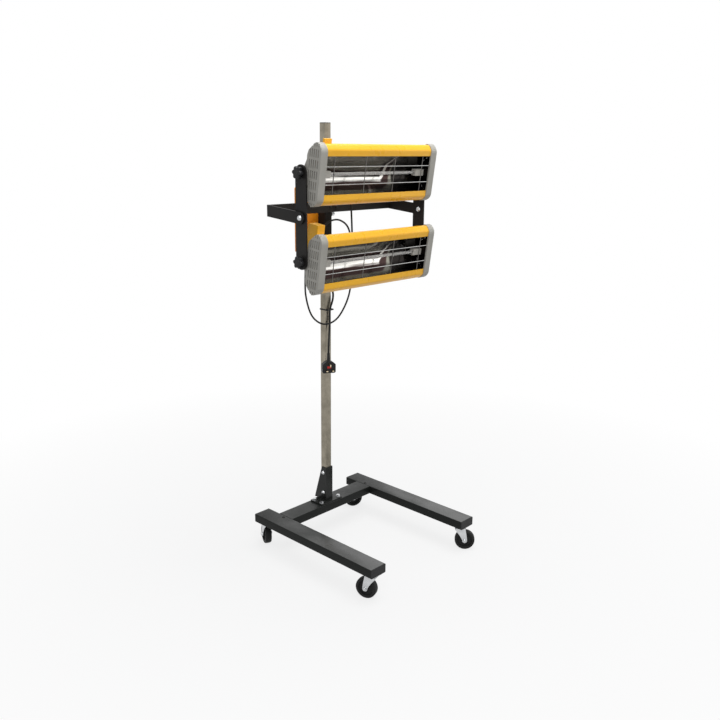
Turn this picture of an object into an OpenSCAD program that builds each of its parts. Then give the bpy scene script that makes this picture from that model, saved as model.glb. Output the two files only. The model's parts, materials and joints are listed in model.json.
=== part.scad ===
// Mobile infrared curing lamp: two heater cassettes on a square mast with a wheeled U-shaped base.
// The origin is on the floor, under the middle of the footprint. The heaters face -Y.

/* [Base] */
// Length of each leg, end caps included
leg_len = 600; // [520:1:700]
// Width of a leg tube
leg_w = 70; // [64:1:80]
// Height of a leg tube
leg_h = 32; // [28:1:40]
// Wall of the base tubes
leg_wall = 2; // [1.5:0.1:3]
// Radius of the base tubes' edges
leg_edge = 3; // [2.5:0.1:4]
// Distance between the middles of the legs
leg_gauge = 491; // [440:1:560]
// Width of the cross-beam
beam_w = 75; // [70:1:90]
// Distance from the legs' rear ends to the mast's axis
mast_setback = 97; // [80:1:120]
// Thickness of an end cap's flange
cap_t = 3; // [2:0.1:5]

/* [Castors] */
// Diameter of a wheel
wheel_d = 75; // [65:1:80]
// Width of a wheel's tread
wheel_w = 24; // [20:1:28]
// Height of a castor from the floor to the top of its plate
castor_h = 95; // [94:1:110]
// Distance from a leg's end to the swivel axis
castor_inset = 30; // [29:1:50]
// Distance from the swivel axis to the wheel's axle
castor_trail = 18; // [12:1:24]
// Diameter of the axle
axle_d = 8; // [6:0.5:10]
// Resting swivel angle of the front left castor
swivel_fl = 108; // [0:1:359]
// Resting swivel angle of the front right castor
swivel_fr = 308; // [0:1:359]
// Resting swivel angle of the rear left castor
swivel_bl = 65; // [0:1:359]
// Resting swivel angle of the rear right castor
swivel_br = 150; // [0:1:359]

/* [Mast] */
// Side of the square mast
mast_w = 28; // [25:0.5:32]
// Wall of the mast
mast_wall = 2; // [1.5:0.1:3]
// Height of the mast's top above the floor
mast_top = 1551; // [1450:1:1650]
// Height of the foot bracket above the cross-beam
foot_h = 141; // [120:1:170]
// Depth of the foot bracket at its bottom
foot_depth = 64; // [56:1:72]
// Wall of the foot bracket
foot_wall = 3; // [2:0.1:4]
// Diameter of the foot's bolts
foot_bolt_d = 8; // [6:0.5:10]

/* [Carriage] */
// Height of the head frame's pivot above the floor
head_z = 1250; // [1150:1:1270]
// Distance from the mast's axis to the head frame's pivot
head_reach = 192; // [185:1:220]
// Length of the sleeve that slides on the mast
sleeve_h = 140; // [120:1:160]
// Gap between the sleeve and the mast on each side
sleeve_gap = 0.3; // [0.1:0.1:0.5]
// Wall of the sleeve
sleeve_wall = 2.2; // [2:0.1:4]
// Thickness of the bracket's bar and arms
bracket_t = 5; // [4:0.5:6]
// Height of the bracket's bar and arms
bracket_h = 38; // [34:1:44]
// Height of the bar's middle above the head frame's pivot
bracket_rise = 14.5; // [8:0.5:18]
// Distance from the mast's axis to the back of the bar
bar_y = 35; // [30:1:40]

/* [Head] */
// Distance between the two cassettes' pivots
head_pitch = 280; // [270:1:320]
// Width of the uprights
upright_w = 50; // [44:1:54]
// Thickness of the uprights
upright_t = 5; // [4:0.5:6]
// Clear space between an end cap and its upright
upright_gap = 6.5; // [5:0.5:19]
// Diameter of the pivots
pivot_d = 10; // [8:0.5:12]
// Resting tilt of the cassettes, facing down
tilt = 8; // [0:1:12]

/* [Cassettes] */
// Length of a housing between its end caps
housing_len = 506; // [480:1:508]
// Height of a cassette
housing_h = 192; // [180:1:200]
// Distance from the pivot to the plane of the opening
face_y = 70; // [66:1:76]
// Distance from the pivot to the housing's back
back_y = 15; // [14:0.5:20]
// Height of the opening
opening_h = 120; // [110:1:124]
// Wall of the housing
housing_wall = 2; // [1.5:0.1:3]
// Thickness of an end cap along the lamp
endcap_t = 28; // [22:1:30]
// Diameter of the quartz lamp
lamp_d = 11; // [9:0.5:13]
// Diameter of the grille's wires
wire_d = 3; // [2:0.1:4]
// Diameter of a tilt knob
knob_d = 42; // [36:1:46]

/* [Control box] */
// Width of the control box
box_w = 120; // [110:1:130]
// Depth of the control box
box_d = 58; // [50:1:70]
// Height of the control box
box_h = 232; // [220:1:240]
// Offset of the control box's middle from the mast, to the left
box_shift = 15; // [10:1:20]
// Wall of the control box
box_wall = 2.5; // [2:0.1:3]
// Diameter of the timer's knob
timer_d = 38; // [30:1:44]
// Width of a rocker switch
rocker_w = 14; // [12:1:18]
// Height of a rocker switch
rocker_h = 26; // [22:1:30]

/* [Leads] */
// Diameter of the mains lead
mains_d = 7.5; // [6.5:0.1:7.8]
// Diameter of a lamp's lead
lead_d = 6.5; // [5.5:0.1:7]
// Width of the plug
plug_w = 50; // [48:0.5:52]
// Height of the plug
plug_h = 44; // [42:0.5:50]
// Thickness of the plug
plug_t = 22; // [20:0.5:24]

/* [Hidden] */

$fn = 48;
// Overrun of every cut past the face that it opens
over = 1;
// Gap of a piece that turns or sits in another
fit = 0.1;
// Gap between faces that move past each other
face_gap = 0.3;

// Base
beam_len = leg_gauge - leg_w;
mast_y = leg_len / 2 - mast_setback;
leg_top = castor_h + leg_h;
cap_insert = 15;
cap_insert_wall = 2;
screw_d = 6;
screw_head_d = 12;
screw_head_h = 3;
screw_inset = 12;
screw_grip = 8;

// Castors
plate_l = 56;
plate_w = 50;
plate_t = 2.5;
race_d = 38;
race_h = 4.5;
king_d = 12;
rivet_d = 17;
rivet_h = 2.2;
crown_t = 3;
crown_d = 40;
fork_t = 2.5;
fork_gap = 2;
axle_eye_r = 9;
nut_h = 5;
nut_d = 14;
hub_d = 22;
web_w = 10;
tread_r = 4;
rim_t = 11;
plate_hole_l = 42;
plate_hole_w = 36;
axle_z = wheel_d / 2;
crown_z = castor_h - plate_t - race_h - face_gap - crown_t;
castors = [
    [-1, -1, swivel_fl], [1, -1, swivel_fr], [-1, 1, swivel_bl], [1, 1, swivel_br]
];

// Mast and foot
mast_edge = 2;
foot_gap = 0.2;
foot_plate_w = 110;
foot_plate_d = 66;
foot_plate_t = 5;
foot_base = leg_top + foot_plate_t;
foot_inner = mast_w / 2 + foot_gap;
foot_outer = foot_inner + foot_wall;
foot_bolt_x = 45;
foot_bolt_y = 20;
foot_bolt_shares = [0.206, 0.794];
foot_bolt_z = [for (share = foot_bolt_shares) share * foot_h];
mast_cap_t = 3;
hex_h = 5.3;
hex_across = 13;
hex_d = hex_across / cos(30);
washer_d = 16;
washer_t = 1.6;

// Carriage
sleeve_in = mast_w / 2 + sleeve_gap;
sleeve_out = sleeve_in + sleeve_wall;
sleeve_edge = 2.5;
sleeve_rise = 38;
sleeve_top = head_z + sleeve_rise;
sleeve_low = sleeve_top - sleeve_h;
block_w = 50;
ear_w = 2 * sleeve_out;
ear_t = 4;
ear_h = 100;
bar_z = head_z + bracket_rise;
washer_gap = 2;
upright_x = housing_len / 2 + endcap_t + upright_gap;
arm_in = upright_x + upright_t + washer_gap;
arm_out = arm_in + bracket_t;
bolt_gap = 14;
bar_head_h = 4;
dome_d = 18;
dome_h = 6;
clamp_drop = 15;
clamp_z = head_z - clamp_drop;
boss_d = 20;
boss_l = 9;
clamp_d = 10;
clamp_out = 16;
clamp_head_d = 14;
lever_d = 6;
lever_len = 60;
lever_angle = 45;
tie_z = 890;
tie_t = 1.5;
tie_h = 5;

// Head frame and cassettes
cap_rim = 3;
cap_wall = 3;
cassette_out = housing_len / 2 + endcap_t;
spacer_l = upright_x - cassette_out - 2 * face_gap;
spacer_d = 24;
lug_t = 8;
lug_r = 15;
knob_t = 20;
knob_boss_d = 24;
stud_reach = 14;
fold_r = 12;
fold_steps = 4;
cap_nose_r = 24;
cap_top_r = 20;
cap_crest_r = 10;
cap_heel_r = 14;
cap_back_r = 8;
slot_w = 3.6;
slot_h = 25;
slot_pitch_y = 9.2;
slot_pitch_z = 33;
nose_h = 20;
nose_out = 1.5;
shoulder_y = 58;
crest_y = 44;
heel_y = 19;
heel_h = 72;
back_h = 58;
reflector_t = 1;
reflector_depth = 44;
reflector_lip = 6;
reflector_steps = 16;
lamp_inset = 38;
lamp_len = housing_len - 2 * lamp_inset;
lamp_y = 40;
holder_w = 18;
holder_h = 22;
holder_l = 14;
wire_z = 28;
wire_inset = 2;
bar_shares = [-0.423, -0.14, 0.14, 0.423];
terminal_inset = 26;
terminal_x = housing_len / 2 - terminal_inset;
terminal_w = 32;
terminal_top = 117;
terminal_low = 20;
terminal_rear = 36;
terminal_edge = 5;
hood_y = 10;
hood_h = 86;
hook_y = 36;
hook_top = 110;
crest_top = 99;
gland_d = 20;
gland_l = 19;

// Control box
box_y = sleeve_out + ear_t;
box_drop = 152;
box_low = head_z - box_drop;
box_edge = 7;
pillar_d = 13;
cover_t = 2.5;
cover_screw_d = 4;
cover_screw_inset = 8;
box_bolt_gap = 70;
box_bolt_out = 9;
box_bolt_x = [for (side = [-1, 1]) side * box_bolt_out];
box_gland_shares = [-1 / 3, 0, 0.31];
box_gland_x = [for (share = box_gland_shares) share * box_w - box_shift];
box_gland_l = 18;
box_gland_d = 18;
box_gland_hole = 12;
timer_rise = 177;
timer_z = box_low + timer_rise;
timer_shaft_d = 8;
timer_t = 17;
rocker_rise = 92;
rocker_z = box_low + rocker_rise;
rocker_gap = 17;
rocker_depth = 9;
rocker_lift = 3.5;
rocker_low = 0.6;
rocker_pin_d = 2.5;
rocker_pin_y = 2;
bezel_t = 2;
bezel_w = 2.5;

// Plug
plug_edge = 6;
plug_yaw = -30;
plug_at = [-27, -42, 682];
relief_l = 30;
relief_top_d = 10;
relief_low_d = 13;
pin_t = 4;
pin_w = 6.35;
pin_l = 17.7;
earth_w = 8;
earth_l = 22.7;
pin_half = 11.1;
pin_rise = 22.2;
pin_low = 11;
fuse_w = 14;
fuse_h = 8;
fuse_t = 1.2;
fuse_inset = 0.6;

// Routes of the leads from gland to gland, in the mast's frame
upper_route = [
    [-191.7, -192, 1390], [-150, -191, 1390], [-95, -180, 1388], [-30, -143, 1373], [22, -100, 1335],
    [46, -82, 1285], [60, -74, 1200], [76, -62, 1100], [86, -50, 1010], [78, -40, 930], [44, -32, 868],
    [0, -30, 843], [-38, -14, 843], [-60, 14, 875], [-61, 42, 945], [-55, 49.5, 1030], [-55, 49.5, 1079.7]
];
lower_route = [
    [-191.7, -192, 1110], [-150, -191, 1110], [-95, -181, 1114], [-30, -145, 1130], [18, -108, 1164],
    [24, -82, 1202], [0, -58, 1220], [-30, -34, 1204], [-46, -10, 1150], [-48, 4, 1090], [-48, 6, 1052],
    [-43, 12.5, 1032], [-31.5, 28, 1023], [-20, 43, 1032], [-15, 49.5, 1050], [-15, 49.5, 1079.7]
];
mains_route = [
    [22, 49.5, 1079.7], [22, 49.5, 1054], [27, 36, 1020], [29, 12, 985], [26, -10, 955], [16, -21, 928],
    [2, -20.4, 890], [0, -21, 850], [-4, -24, 821], [-13.5, -31.5, 792], [-23, -39, 763], [-27, -42, 735]
];
// Point of the mains lead's route that the tie holds
tie_point = 6;

// Unit vector along v
function unit(v) = v / norm(v);

// Angle wrapped to the half turn either side of zero
function wrap(a) = a > 180 ? a - 360 : a < -180 ? a + 360 : a;

// Arc of n steps and radius r that rounds the corner b between a and c
function corner(a, b, c, r, n) =
    let (u = unit(a - b), v = unit(c - b), half = acos(u * v) / 2, m = b + unit(u + v) * r / sin(half))
    let (s = b + u * r / tan(half) - m, e = b + v * r / tan(half) - m)
    let (start = atan2(s.y, s.x), turn = wrap(atan2(e.y, e.x) - start))
    [for (i = [0 : n]) m + r * [cos(start + turn * i / n), sin(start + turn * i / n)]];

// Closed outline whose corners are rounded; each point is [x, y, radius]
function rounded(points, n = 5) =
    let (k = len(points), flat = [for (p = points) [p.x, p.y]])
    [for (i = [0 : k - 1])
        each points[i].z == 0 ? [flat[i]]
            : corner(flat[(i + k - 1) % k], flat[i], flat[(i + 1) % k], points[i].z, n)];

// Open line moved sideways by t, to the left of its direction, with mitred corners
function beside(line, t) =
    let (k = len(line), dirs = [for (i = [0 : k - 2]) unit(line[i + 1] - line[i])])
    [for (i = [0 : k - 1])
        let (p = dirs[max(i - 1, 0)], q = dirs[min(i, k - 2)])
        let (m = unit([-p.y - q.y, p.x + q.x]))
        line[i] + m * t / (m * [-q.y, q.x])];

// Points of a smooth curve through the route's points, with n steps to each stretch
function smooth(route, n) =
    let (k = len(route) - 1)
    [for (i = [0 : k - 1], j = [0 : i == k - 1 ? n : n - 1])
        let (a = route[max(i - 1, 0)], b = route[i], c = route[i + 1], d = route[min(i + 2, k)], t = j / n)
        ((2 * b) + (c - a) * t + (2 * a - 5 * b + 4 * c - d) * t * t
            + (3 * b - a - 3 * c + d) * t * t * t) / 2];

// Frames carried along a line without twisting, as [side, up] pairs
function carried(line, i = 0, last = [0, 1, 0], out = []) =
    i == len(line) ? out
    : let (t = unit(line[min(i + 1, len(line) - 1)] - line[max(i - 1, 0)]), s = unit(last - (last * t) * t))
        carried(line, i + 1, s, concat(out, [[s, cross(t, s)]]));

// Round tube swept along a line of points, with a flat end at each end
module tube(line, d, sides) {
    frames = carried(line);
    rings = len(line);
    points = [for (i = [0 : rings - 1], j = [0 : sides - 1])
        line[i] + d / 2 * (cos(360 * j / sides) * frames[i][0] + sin(360 * j / sides) * frames[i][1])];
    walls = [for (i = [0 : rings - 2], j = [0 : sides - 1])
        let (k = (j + 1) % sides) [i * sides + j, i * sides + k, (i + 1) * sides + k, (i + 1) * sides + j]];
    ends = [[for (j = [sides - 1 : -1 : 0]) j], [for (j = [0 : sides - 1]) (rings - 1) * sides + j]];
    polyhedron(points, concat([for (w = walls) [w[3], w[2], w[1], w[0]]], [for (e = ends)
        [for (j = [len(e) - 1 : -1 : 0]) e[j]]]));
}

// Rectangle centred on the origin with round corners
module soft_square(w, h, r) {
    square([w - 2 * r, h], center = true);
    square([w, h - 2 * r], center = true);
    for (x = [-1, 1], y = [-1, 1]) {
        translate([x * (w / 2 - r), y * (h / 2 - r)]) circle(r);
    }
}

// Square tube section
module tube_section(w, h, wall, r) {
    difference() {
        soft_square(w, h, r);
        soft_square(w - 2 * wall, h - 2 * wall, r - wall / 2);
    }
}

// Lays an outline drawn as [y, z] in its true plane and extrudes it along X, centred
module along_x(length) {
    rotate([90, 0, 90]) linear_extrude(height = length, center = true) children();
}

// Lays an outline drawn as [x, z] in its true plane and extrudes it along Y, centred
module along_y(length) {
    rotate([90, 0, 0]) linear_extrude(height = length, center = true) children();
}

// Cylinder along X from x = 0
module rod_x(length, d) {
    rotate([0, 90, 0]) cylinder(h = length, d = d);
}

// Cylinder along +Y from y = 0
module rod_y(length, d) {
    rotate([-90, 0, 0]) cylinder(h = length, d = d);
}

// Domed head that stands on z = 0
module dome(d, h) {
    r = (d * d / 4 + h * h) / (2 * h);
    intersection() {
        translate([0, 0, h - r]) sphere(r);
        cylinder(h = h, d = d + over);
    }
}

// Moves its children to the mast's axis on the floor
module at_mast() {
    translate([0, mast_y, 0]) children();
}

// Moves its children to the head frame's pivot axis
module at_head() {
    translate([0, mast_y - head_reach, head_z]) children();
}

// Moves its children to a cassette's pivot, tilted as it rests
module at_cassette(level) {
    at_head() translate([0, 0, level * head_pitch / 2]) rotate([tilt, 0, 0]) children();
}

// Moves its children to a castor's swivel axis, at the floor
module at_castor(c) {
    translate([c[0] * leg_gauge / 2, c[1] * (leg_len / 2 - castor_inset), 0]) children();
}

// Places of a castor plate's four screws
module at_plate_holes(c) {
    at_castor(c) for (x = [-1, 1], y = [-1, 1]) {
        translate([x * plate_hole_w / 2, y * plate_hole_l / 2, 0]) children();
    }
}

// Base

module leg(side) {
    difference() {
        translate([side * leg_gauge / 2, 0, castor_h + leg_h / 2])
            along_y(leg_len - 2 * cap_t) tube_section(leg_w, leg_h, leg_wall, leg_edge);
        for (c = castors) {
            at_plate_holes(c) translate([0, 0, castor_h - over])
                cylinder(h = leg_wall + 2 * over, d = screw_d + 2 * fit);
        }
        translate([side * (leg_gauge / 2 - leg_w / 2 + screw_inset), mast_y, leg_top - leg_wall - over])
            cylinder(h = leg_wall + 2 * over, d = screw_d + 2 * fit);
    }
}

module leg_left() {
    color("#181818") leg(-1);
}

module leg_right() {
    color("#181818") leg(1);
}

module cross_beam() {
    color("#181818") difference() {
        translate([0, mast_y, castor_h + leg_h / 2])
            along_x(beam_len) tube_section(beam_w, leg_h, leg_wall, leg_edge);
        at_foot_bolts() translate([0, 0, leg_top - leg_wall - over])
            cylinder(h = leg_wall + 2 * over, d = foot_bolt_d + 2 * fit);
    }
}

module leg_end_caps() {
    inner_w = leg_w - 2 * leg_wall - 2 * fit;
    inner_h = leg_h - 2 * leg_wall - 2 * fit;
    inner_r = leg_edge - leg_wall / 2;
    color("#202020") difference() {
        for (x = [-1, 1], y = [-1, 1]) {
            translate([x * leg_gauge / 2, y * (leg_len / 2 - cap_t / 2), castor_h + leg_h / 2])
                along_y(cap_t) soft_square(leg_w, leg_h, leg_edge);
            translate([x * leg_gauge / 2, y * (leg_len / 2 - cap_t - cap_insert / 2), castor_h + leg_h / 2])
                along_y(cap_insert) tube_section(inner_w, inner_h, cap_insert_wall, inner_r);
        }
        for (c = castors) {
            at_plate_holes(c) translate([0, 0, castor_h])
                cylinder(h = leg_wall + cap_insert_wall + over, d = screw_d + 2 * face_gap);
        }
    }
}

module beam_screws() {
    color("#3a3a3a") for (side = [-1, 1]) {
        translate([side * (leg_gauge / 2 - leg_w / 2 + screw_inset), mast_y, leg_top]) {
            dome(screw_head_d, screw_head_h);
            translate([0, 0, -screw_grip]) cylinder(h = screw_grip, d = screw_d);
        }
    }
}

// Castors

module castor_plates() {
    color("#b9bcbe") for (c = castors) {
        at_castor(c) {
            translate([0, 0, castor_h - plate_t / 2])
                linear_extrude(height = plate_t, center = true) soft_square(plate_w, plate_l, tread_r);
            translate([0, 0, castor_h - plate_t - race_h]) cylinder(h = race_h, d = race_d);
            translate([0, 0, crown_z - rivet_h - face_gap])
                cylinder(h = castor_h - plate_t - crown_z + rivet_h, d = king_d);
            translate([0, 0, crown_z - face_gap - rivet_h]) cylinder(h = rivet_h, d = rivet_d);
        }
        at_plate_holes(c) translate([0, 0, castor_h - plate_t - screw_head_h]) {
            cylinder(h = screw_head_h + over, d = screw_head_d * 3 / 4);
            cylinder(h = screw_head_h + plate_t + screw_grip, d = screw_d);
        }
    }
}

// Outline of a fork arm, from the crown's edge down to the axle's eye
module fork_outline() {
    half = crown_d / 2;
    polygon([
        [-half, crown_z + crown_t], [half, crown_z + crown_t], [castor_trail + axle_eye_r, axle_z],
        [castor_trail, axle_z - axle_eye_r], [castor_trail - axle_eye_r, axle_z]
    ]);
    translate([castor_trail, axle_z]) circle(axle_eye_r);
}

// Fork with its axle; at rest the wheel trails along +X
module castor_fork(c) {
    inner = wheel_w / 2 + fork_gap;
    color("#b9bcbe") at_castor(c) rotate([0, 0, c[2]]) difference() {
        union() {
            for (side = [-1, 1]) {
                translate([0, side * (inner + fork_t / 2), 0]) along_y(fork_t) fork_outline();
                translate([castor_trail, side * (inner + fork_t), axle_z]) rotate([-90 * side, 0, 0])
                    cylinder(h = nut_h, d = nut_d, $fn = 6);
            }
            translate([-crown_d / 2, -inner, crown_z]) cube([crown_d, 2 * inner, crown_t]);
            translate([castor_trail, -inner, axle_z]) rod_y(2 * inner, axle_d);
        }
        translate([0, 0, crown_z - over]) cylinder(h = crown_t + 2 * over, d = king_d + 2 * fit);
    }
}

module castor_fork_fl() {
    castor_fork(castors[0]);
}

module castor_fork_fr() {
    castor_fork(castors[1]);
}

module castor_fork_bl() {
    castor_fork(castors[2]);
}

module castor_fork_br() {
    castor_fork(castors[3]);
}

// Half section of a wheel: tread, rim, web and hub
module wheel_section() {
    r = wheel_d / 2;
    hub_half = wheel_w / 2 + fork_gap - face_gap;
    polygon([
        [axle_d / 2 + fit, -hub_half], [hub_d / 2, -hub_half], [hub_d / 2, -web_w / 2],
        [r - rim_t, -web_w / 2], [r - rim_t + tread_r / 2, -wheel_w / 2], [r - tread_r, -wheel_w / 2],
        [r - tread_r * 0.3, -wheel_w / 2 + tread_r * 0.3], [r, -wheel_w / 2 + tread_r],
        [r, wheel_w / 2 - tread_r], [r - tread_r * 0.3, wheel_w / 2 - tread_r * 0.3],
        [r - tread_r, wheel_w / 2], [r - rim_t + tread_r / 2, wheel_w / 2], [r - rim_t, web_w / 2],
        [hub_d / 2, web_w / 2], [hub_d / 2, hub_half], [axle_d / 2 + fit, hub_half]
    ]);
}

module wheel(c) {
    color("#1b1b1b") at_castor(c) rotate([0, 0, c[2]]) translate([castor_trail, 0, axle_z])
        rotate([90, 0, 0]) rotate_extrude($fn = 64) wheel_section();
}

module wheel_fl() {
    wheel(castors[0]);
}

module wheel_fr() {
    wheel(castors[1]);
}

module wheel_bl() {
    wheel(castors[2]);
}

module wheel_br() {
    wheel(castors[3]);
}

// Mast and foot

module at_foot_bolts() {
    at_mast() for (x = [-1, 1], y = [-1, 1]) {
        translate([x * foot_bolt_x, y * foot_bolt_y, 0]) children();
    }
}

module mast_holes() {
    at_mast() for (z = foot_bolt_z) {
        translate([-foot_outer - over, 0, foot_base + z])
            rod_x(2 * (foot_outer + over), foot_bolt_d + 2 * fit);
    }
}

// Base plate with a channel, open to the rear, that holds the mast
module mast_foot() {
    front = -foot_outer;
    top_rear = foot_inner / 2;
    low_rear = foot_depth - foot_outer;
    color("#1c1c1c") difference() {
        union() {
            at_mast() translate([0, 0, leg_top + foot_plate_t / 2])
                linear_extrude(height = foot_plate_t, center = true)
                soft_square(foot_plate_w, foot_plate_d, leg_edge);
            for (side = [-1, 1]) {
                at_mast() translate([side * (foot_inner + foot_wall / 2), 0, foot_base]) along_x(foot_wall)
                    polygon([[front, 0], [low_rear, 0], [top_rear, foot_h - foot_plate_t],
                        [front, foot_h - foot_plate_t]]);
            }
            at_mast() translate([-foot_inner, front, foot_base])
                cube([2 * foot_inner, foot_wall, foot_h - foot_plate_t]);
        }
        mast_holes();
        at_foot_bolts() translate([0, 0, leg_top - over])
            cylinder(h = foot_plate_t + 2 * over, d = foot_bolt_d + 2 * fit);
    }
}

// Hexagon head on a washer, standing on z = 0, with its shank below
module hex_bolt(grip) {
    cylinder(h = washer_t, d = washer_d);
    translate([0, 0, washer_t]) cylinder(h = hex_h, d = hex_d, $fn = 6);
    translate([0, 0, -grip]) cylinder(h = grip, d = foot_bolt_d);
}

module foot_bolts() {
    color("#c6c8ca") {
        at_foot_bolts() translate([0, 0, foot_base]) hex_bolt(foot_plate_t + leg_wall + screw_grip);
        at_mast() for (z = foot_bolt_z) {
            translate([-foot_outer, 0, foot_base + z]) rod_x(2 * foot_outer + washer_t + hex_h, foot_bolt_d);
            translate([-foot_outer, 0, foot_base + z]) rotate([0, -90, 0]) dome(hex_d, hex_h);
            translate([foot_outer, 0, foot_base + z]) rod_x(washer_t, washer_d);
            translate([foot_outer + washer_t, 0, foot_base + z]) rotate([0, 90, 0])
                cylinder(h = hex_h, d = hex_d, $fn = 6);
        }
    }
}

module mast() {
    color("#a9a49c") difference() {
        at_mast() translate([0, 0, foot_base])
            linear_extrude(height = mast_top - mast_cap_t - foot_base)
            tube_section(mast_w, mast_w, mast_wall, mast_edge);
        mast_holes();
    }
}

module mast_cap() {
    inner = mast_w - 2 * mast_wall - 2 * fit;
    color("#8d8a84") at_mast() {
        translate([0, 0, mast_top - mast_cap_t]) linear_extrude(height = mast_cap_t)
            soft_square(mast_w, mast_w, mast_edge);
        translate([0, 0, mast_top - mast_cap_t - cap_insert]) linear_extrude(height = cap_insert)
            tube_section(inner, inner, cap_insert_wall, mast_edge);
    }
}

// Carriage

module sleeve_bolt_holes() {
    at_mast() for (side = [-1, 1]) {
        translate([side * bolt_gap, -bar_y - bracket_t - over, bar_z])
            rod_y(bar_y - sleeve_out + bracket_t, screw_d + 2 * fit);
    }
}

module box_bolt_holes() {
    at_mast() for (x = box_bolt_x, side = [-1, 1]) {
        translate([x, sleeve_out + face_gap, head_z + side * box_bolt_gap / 2 - bracket_rise])
            rod_y(ear_t + box_wall + over, screw_d + 2 * fit);
    }
}

// Sleeve on the mast with a front block for the bracket, a rear plate for the box and a clamp boss
module sleeve() {
    color("#1d1d1d") difference() {
        at_mast() union() {
            translate([0, 0, sleeve_low]) linear_extrude(height = sleeve_h)
                tube_section(2 * sleeve_out, 2 * sleeve_out, sleeve_wall, sleeve_edge);
            translate([-block_w / 2, -bar_y, bar_z - bracket_h / 2])
                cube([block_w, bar_y - sleeve_out, bracket_h]);
            translate([-ear_w / 2, sleeve_out, head_z - bracket_rise - ear_h / 2])
                cube([ear_w, ear_t, ear_h]);
            translate([sleeve_out, 0, clamp_z]) rod_x(boss_l, boss_d);
        }
        sleeve_bolt_holes();
        box_bolt_holes();
        at_mast() translate([sleeve_in - over, 0, clamp_z])
            rod_x(boss_l + sleeve_wall + 2 * over, clamp_d + 2 * fit);
    }
}

// U-shaped bracket: a bar across the mast and two arms that fall to the head frame's pivots
module bracket() {
    color("#1a1a1a") difference() {
        union() {
            at_mast() translate([-arm_out, -bar_y - bracket_t, bar_z - bracket_h / 2])
                cube([2 * arm_out, bracket_t, bracket_h]);
            for (side = [-1, 1]) {
                at_head() translate([side * (arm_in + bracket_t / 2), 0, 0]) along_x(bracket_t) arm_outline();
            }
        }
        at_head() translate([-arm_out - over, 0, 0]) rod_x(2 * (arm_out + over), pivot_d + 2 * fit);
        sleeve_bolt_holes();
    }
}

module arm_outline() {
    root = head_reach - bar_y - bracket_t / 2;
    polygon([
        [0, -bracket_h / 2], [root, bracket_rise - bracket_h / 2], [root, bracket_rise + bracket_h / 2],
        [0, bracket_h / 2]
    ]);
    circle(bracket_h / 2);
}

module bracket_bolts() {
    color("#c6c8ca") at_mast() for (side = [-1, 1]) {
        translate([side * bolt_gap, -bar_y - bracket_t, bar_z]) {
            rod_y(bar_y - sleeve_out + bracket_t - over, screw_d);
            rotate([90, 0, 0]) dome(screw_head_d, bar_head_h);
        }
    }
}

// Clamp screw on the right of the sleeve with a sliding tommy bar through its head
module clamp_lever() {
    head_x = sleeve_out + boss_l + face_gap;
    color("#d0d2d4") at_mast() translate([0, 0, clamp_z]) {
        translate([mast_w / 2 + face_gap, 0, 0]) rod_x(head_x - mast_w / 2, clamp_d);
        translate([head_x, 0, 0]) rod_x(clamp_out, clamp_head_d);
        translate([head_x + clamp_out / 2, 0, 0]) rotate([lever_angle, 0, 0])
            translate([0, 0, -lever_len / 3]) cylinder(h = lever_len, d = lever_d);
    }
}

module cable_tie() {
    inner = mast_w / 2 + face_gap;
    reach = mains_route[tie_point].y - mains_d / 2 - fit;
    color("#222222") at_mast() translate([0, 0, tie_z - tie_h / 2]) linear_extrude(height = tie_h)
        difference() {
            translate([-inner - tie_t, reach - tie_t])
                square([2 * (inner + tie_t), inner - reach + 2 * tie_t]);
            translate([-inner, reach]) square([2 * inner, inner - reach]);
        }
}

// Control box

module at_box() {
    at_mast() translate([-box_shift, box_y + box_d / 2, box_low + box_h / 2]) children();
}

module box_gland_holes() {
    at_mast() for (x = box_gland_x) {
        translate([x, box_y + box_d / 2, box_low - over])
            cylinder(h = box_wall + 2 * over, d = box_gland_hole + 2 * fit);
    }
}

module cover_screw_places() {
    for (x = [-1, 1], z = [-1, 1]) {
        at_box()
            translate([x * (box_w / 2 - cover_screw_inset), box_d / 2, z * (box_h / 2 - cover_screw_inset)])
            children();
    }
}

// Box shell that is open to the rear, with a pillar for each cover screw
module control_box() {
    color("#e8961e") difference() {
        union() {
            at_box() along_y(box_d) tube_section(box_w, box_h, box_wall, box_edge);
            at_box() translate([0, -box_d / 2 + box_wall / 2, 0]) along_y(box_wall)
                soft_square(box_w - box_wall, box_h - box_wall, box_edge);
            cover_screw_places() translate([0, -screw_inset, 0]) rod_y(screw_inset, pillar_d);
        }
        box_gland_holes();
        box_bolt_holes();
        cover_screw_places() translate([0, -screw_inset - over, 0])
            rod_y(screw_inset + 2 * over, cover_screw_d + 2 * fit);
    }
}

module at_rocker(level) {
    rise = rocker_z - box_low - box_h / 2;
    at_box() translate([0, box_d / 2 + cover_t + bezel_t, rise + level * rocker_gap])
        children();
}

// Rear cover with a raised bezel round each switch and a hole for the timer's shaft
module box_cover() {
    color("#e8961e") difference() {
        union() {
            at_box() translate([0, box_d / 2 + cover_t / 2, 0]) along_y(cover_t)
                soft_square(box_w, box_h, box_edge);
            for (level = [-1, 1]) {
                at_rocker(level) translate([0, -bezel_t / 2, 0]) along_y(bezel_t)
                    soft_square(rocker_w + 2 * bezel_w, rocker_h + 2 * bezel_w, bezel_w);
            }
        }
        for (level = [-1, 1]) {
            at_rocker(level) difference() {
                translate([0, -bezel_t / 2 - cover_t / 2, 0])
                    cube([rocker_w + 2 * face_gap, bezel_t + cover_t + 2 * over, rocker_h + 2 * face_gap],
                        center = true);
                translate([-rocker_w / 2 - over, -rocker_pin_y, 0]) rod_x(rocker_w + 2 * over, rocker_pin_d);
            }
        }
        at_mast() translate([-box_shift, box_y + box_d - over, timer_z])
            rod_y(cover_t + 2 * over, timer_shaft_d + 2 * fit);
        cover_screw_places() translate([0, -over, 0]) rod_y(cover_t + 2 * over, cover_screw_d + 2 * fit);
    }
}

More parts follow.
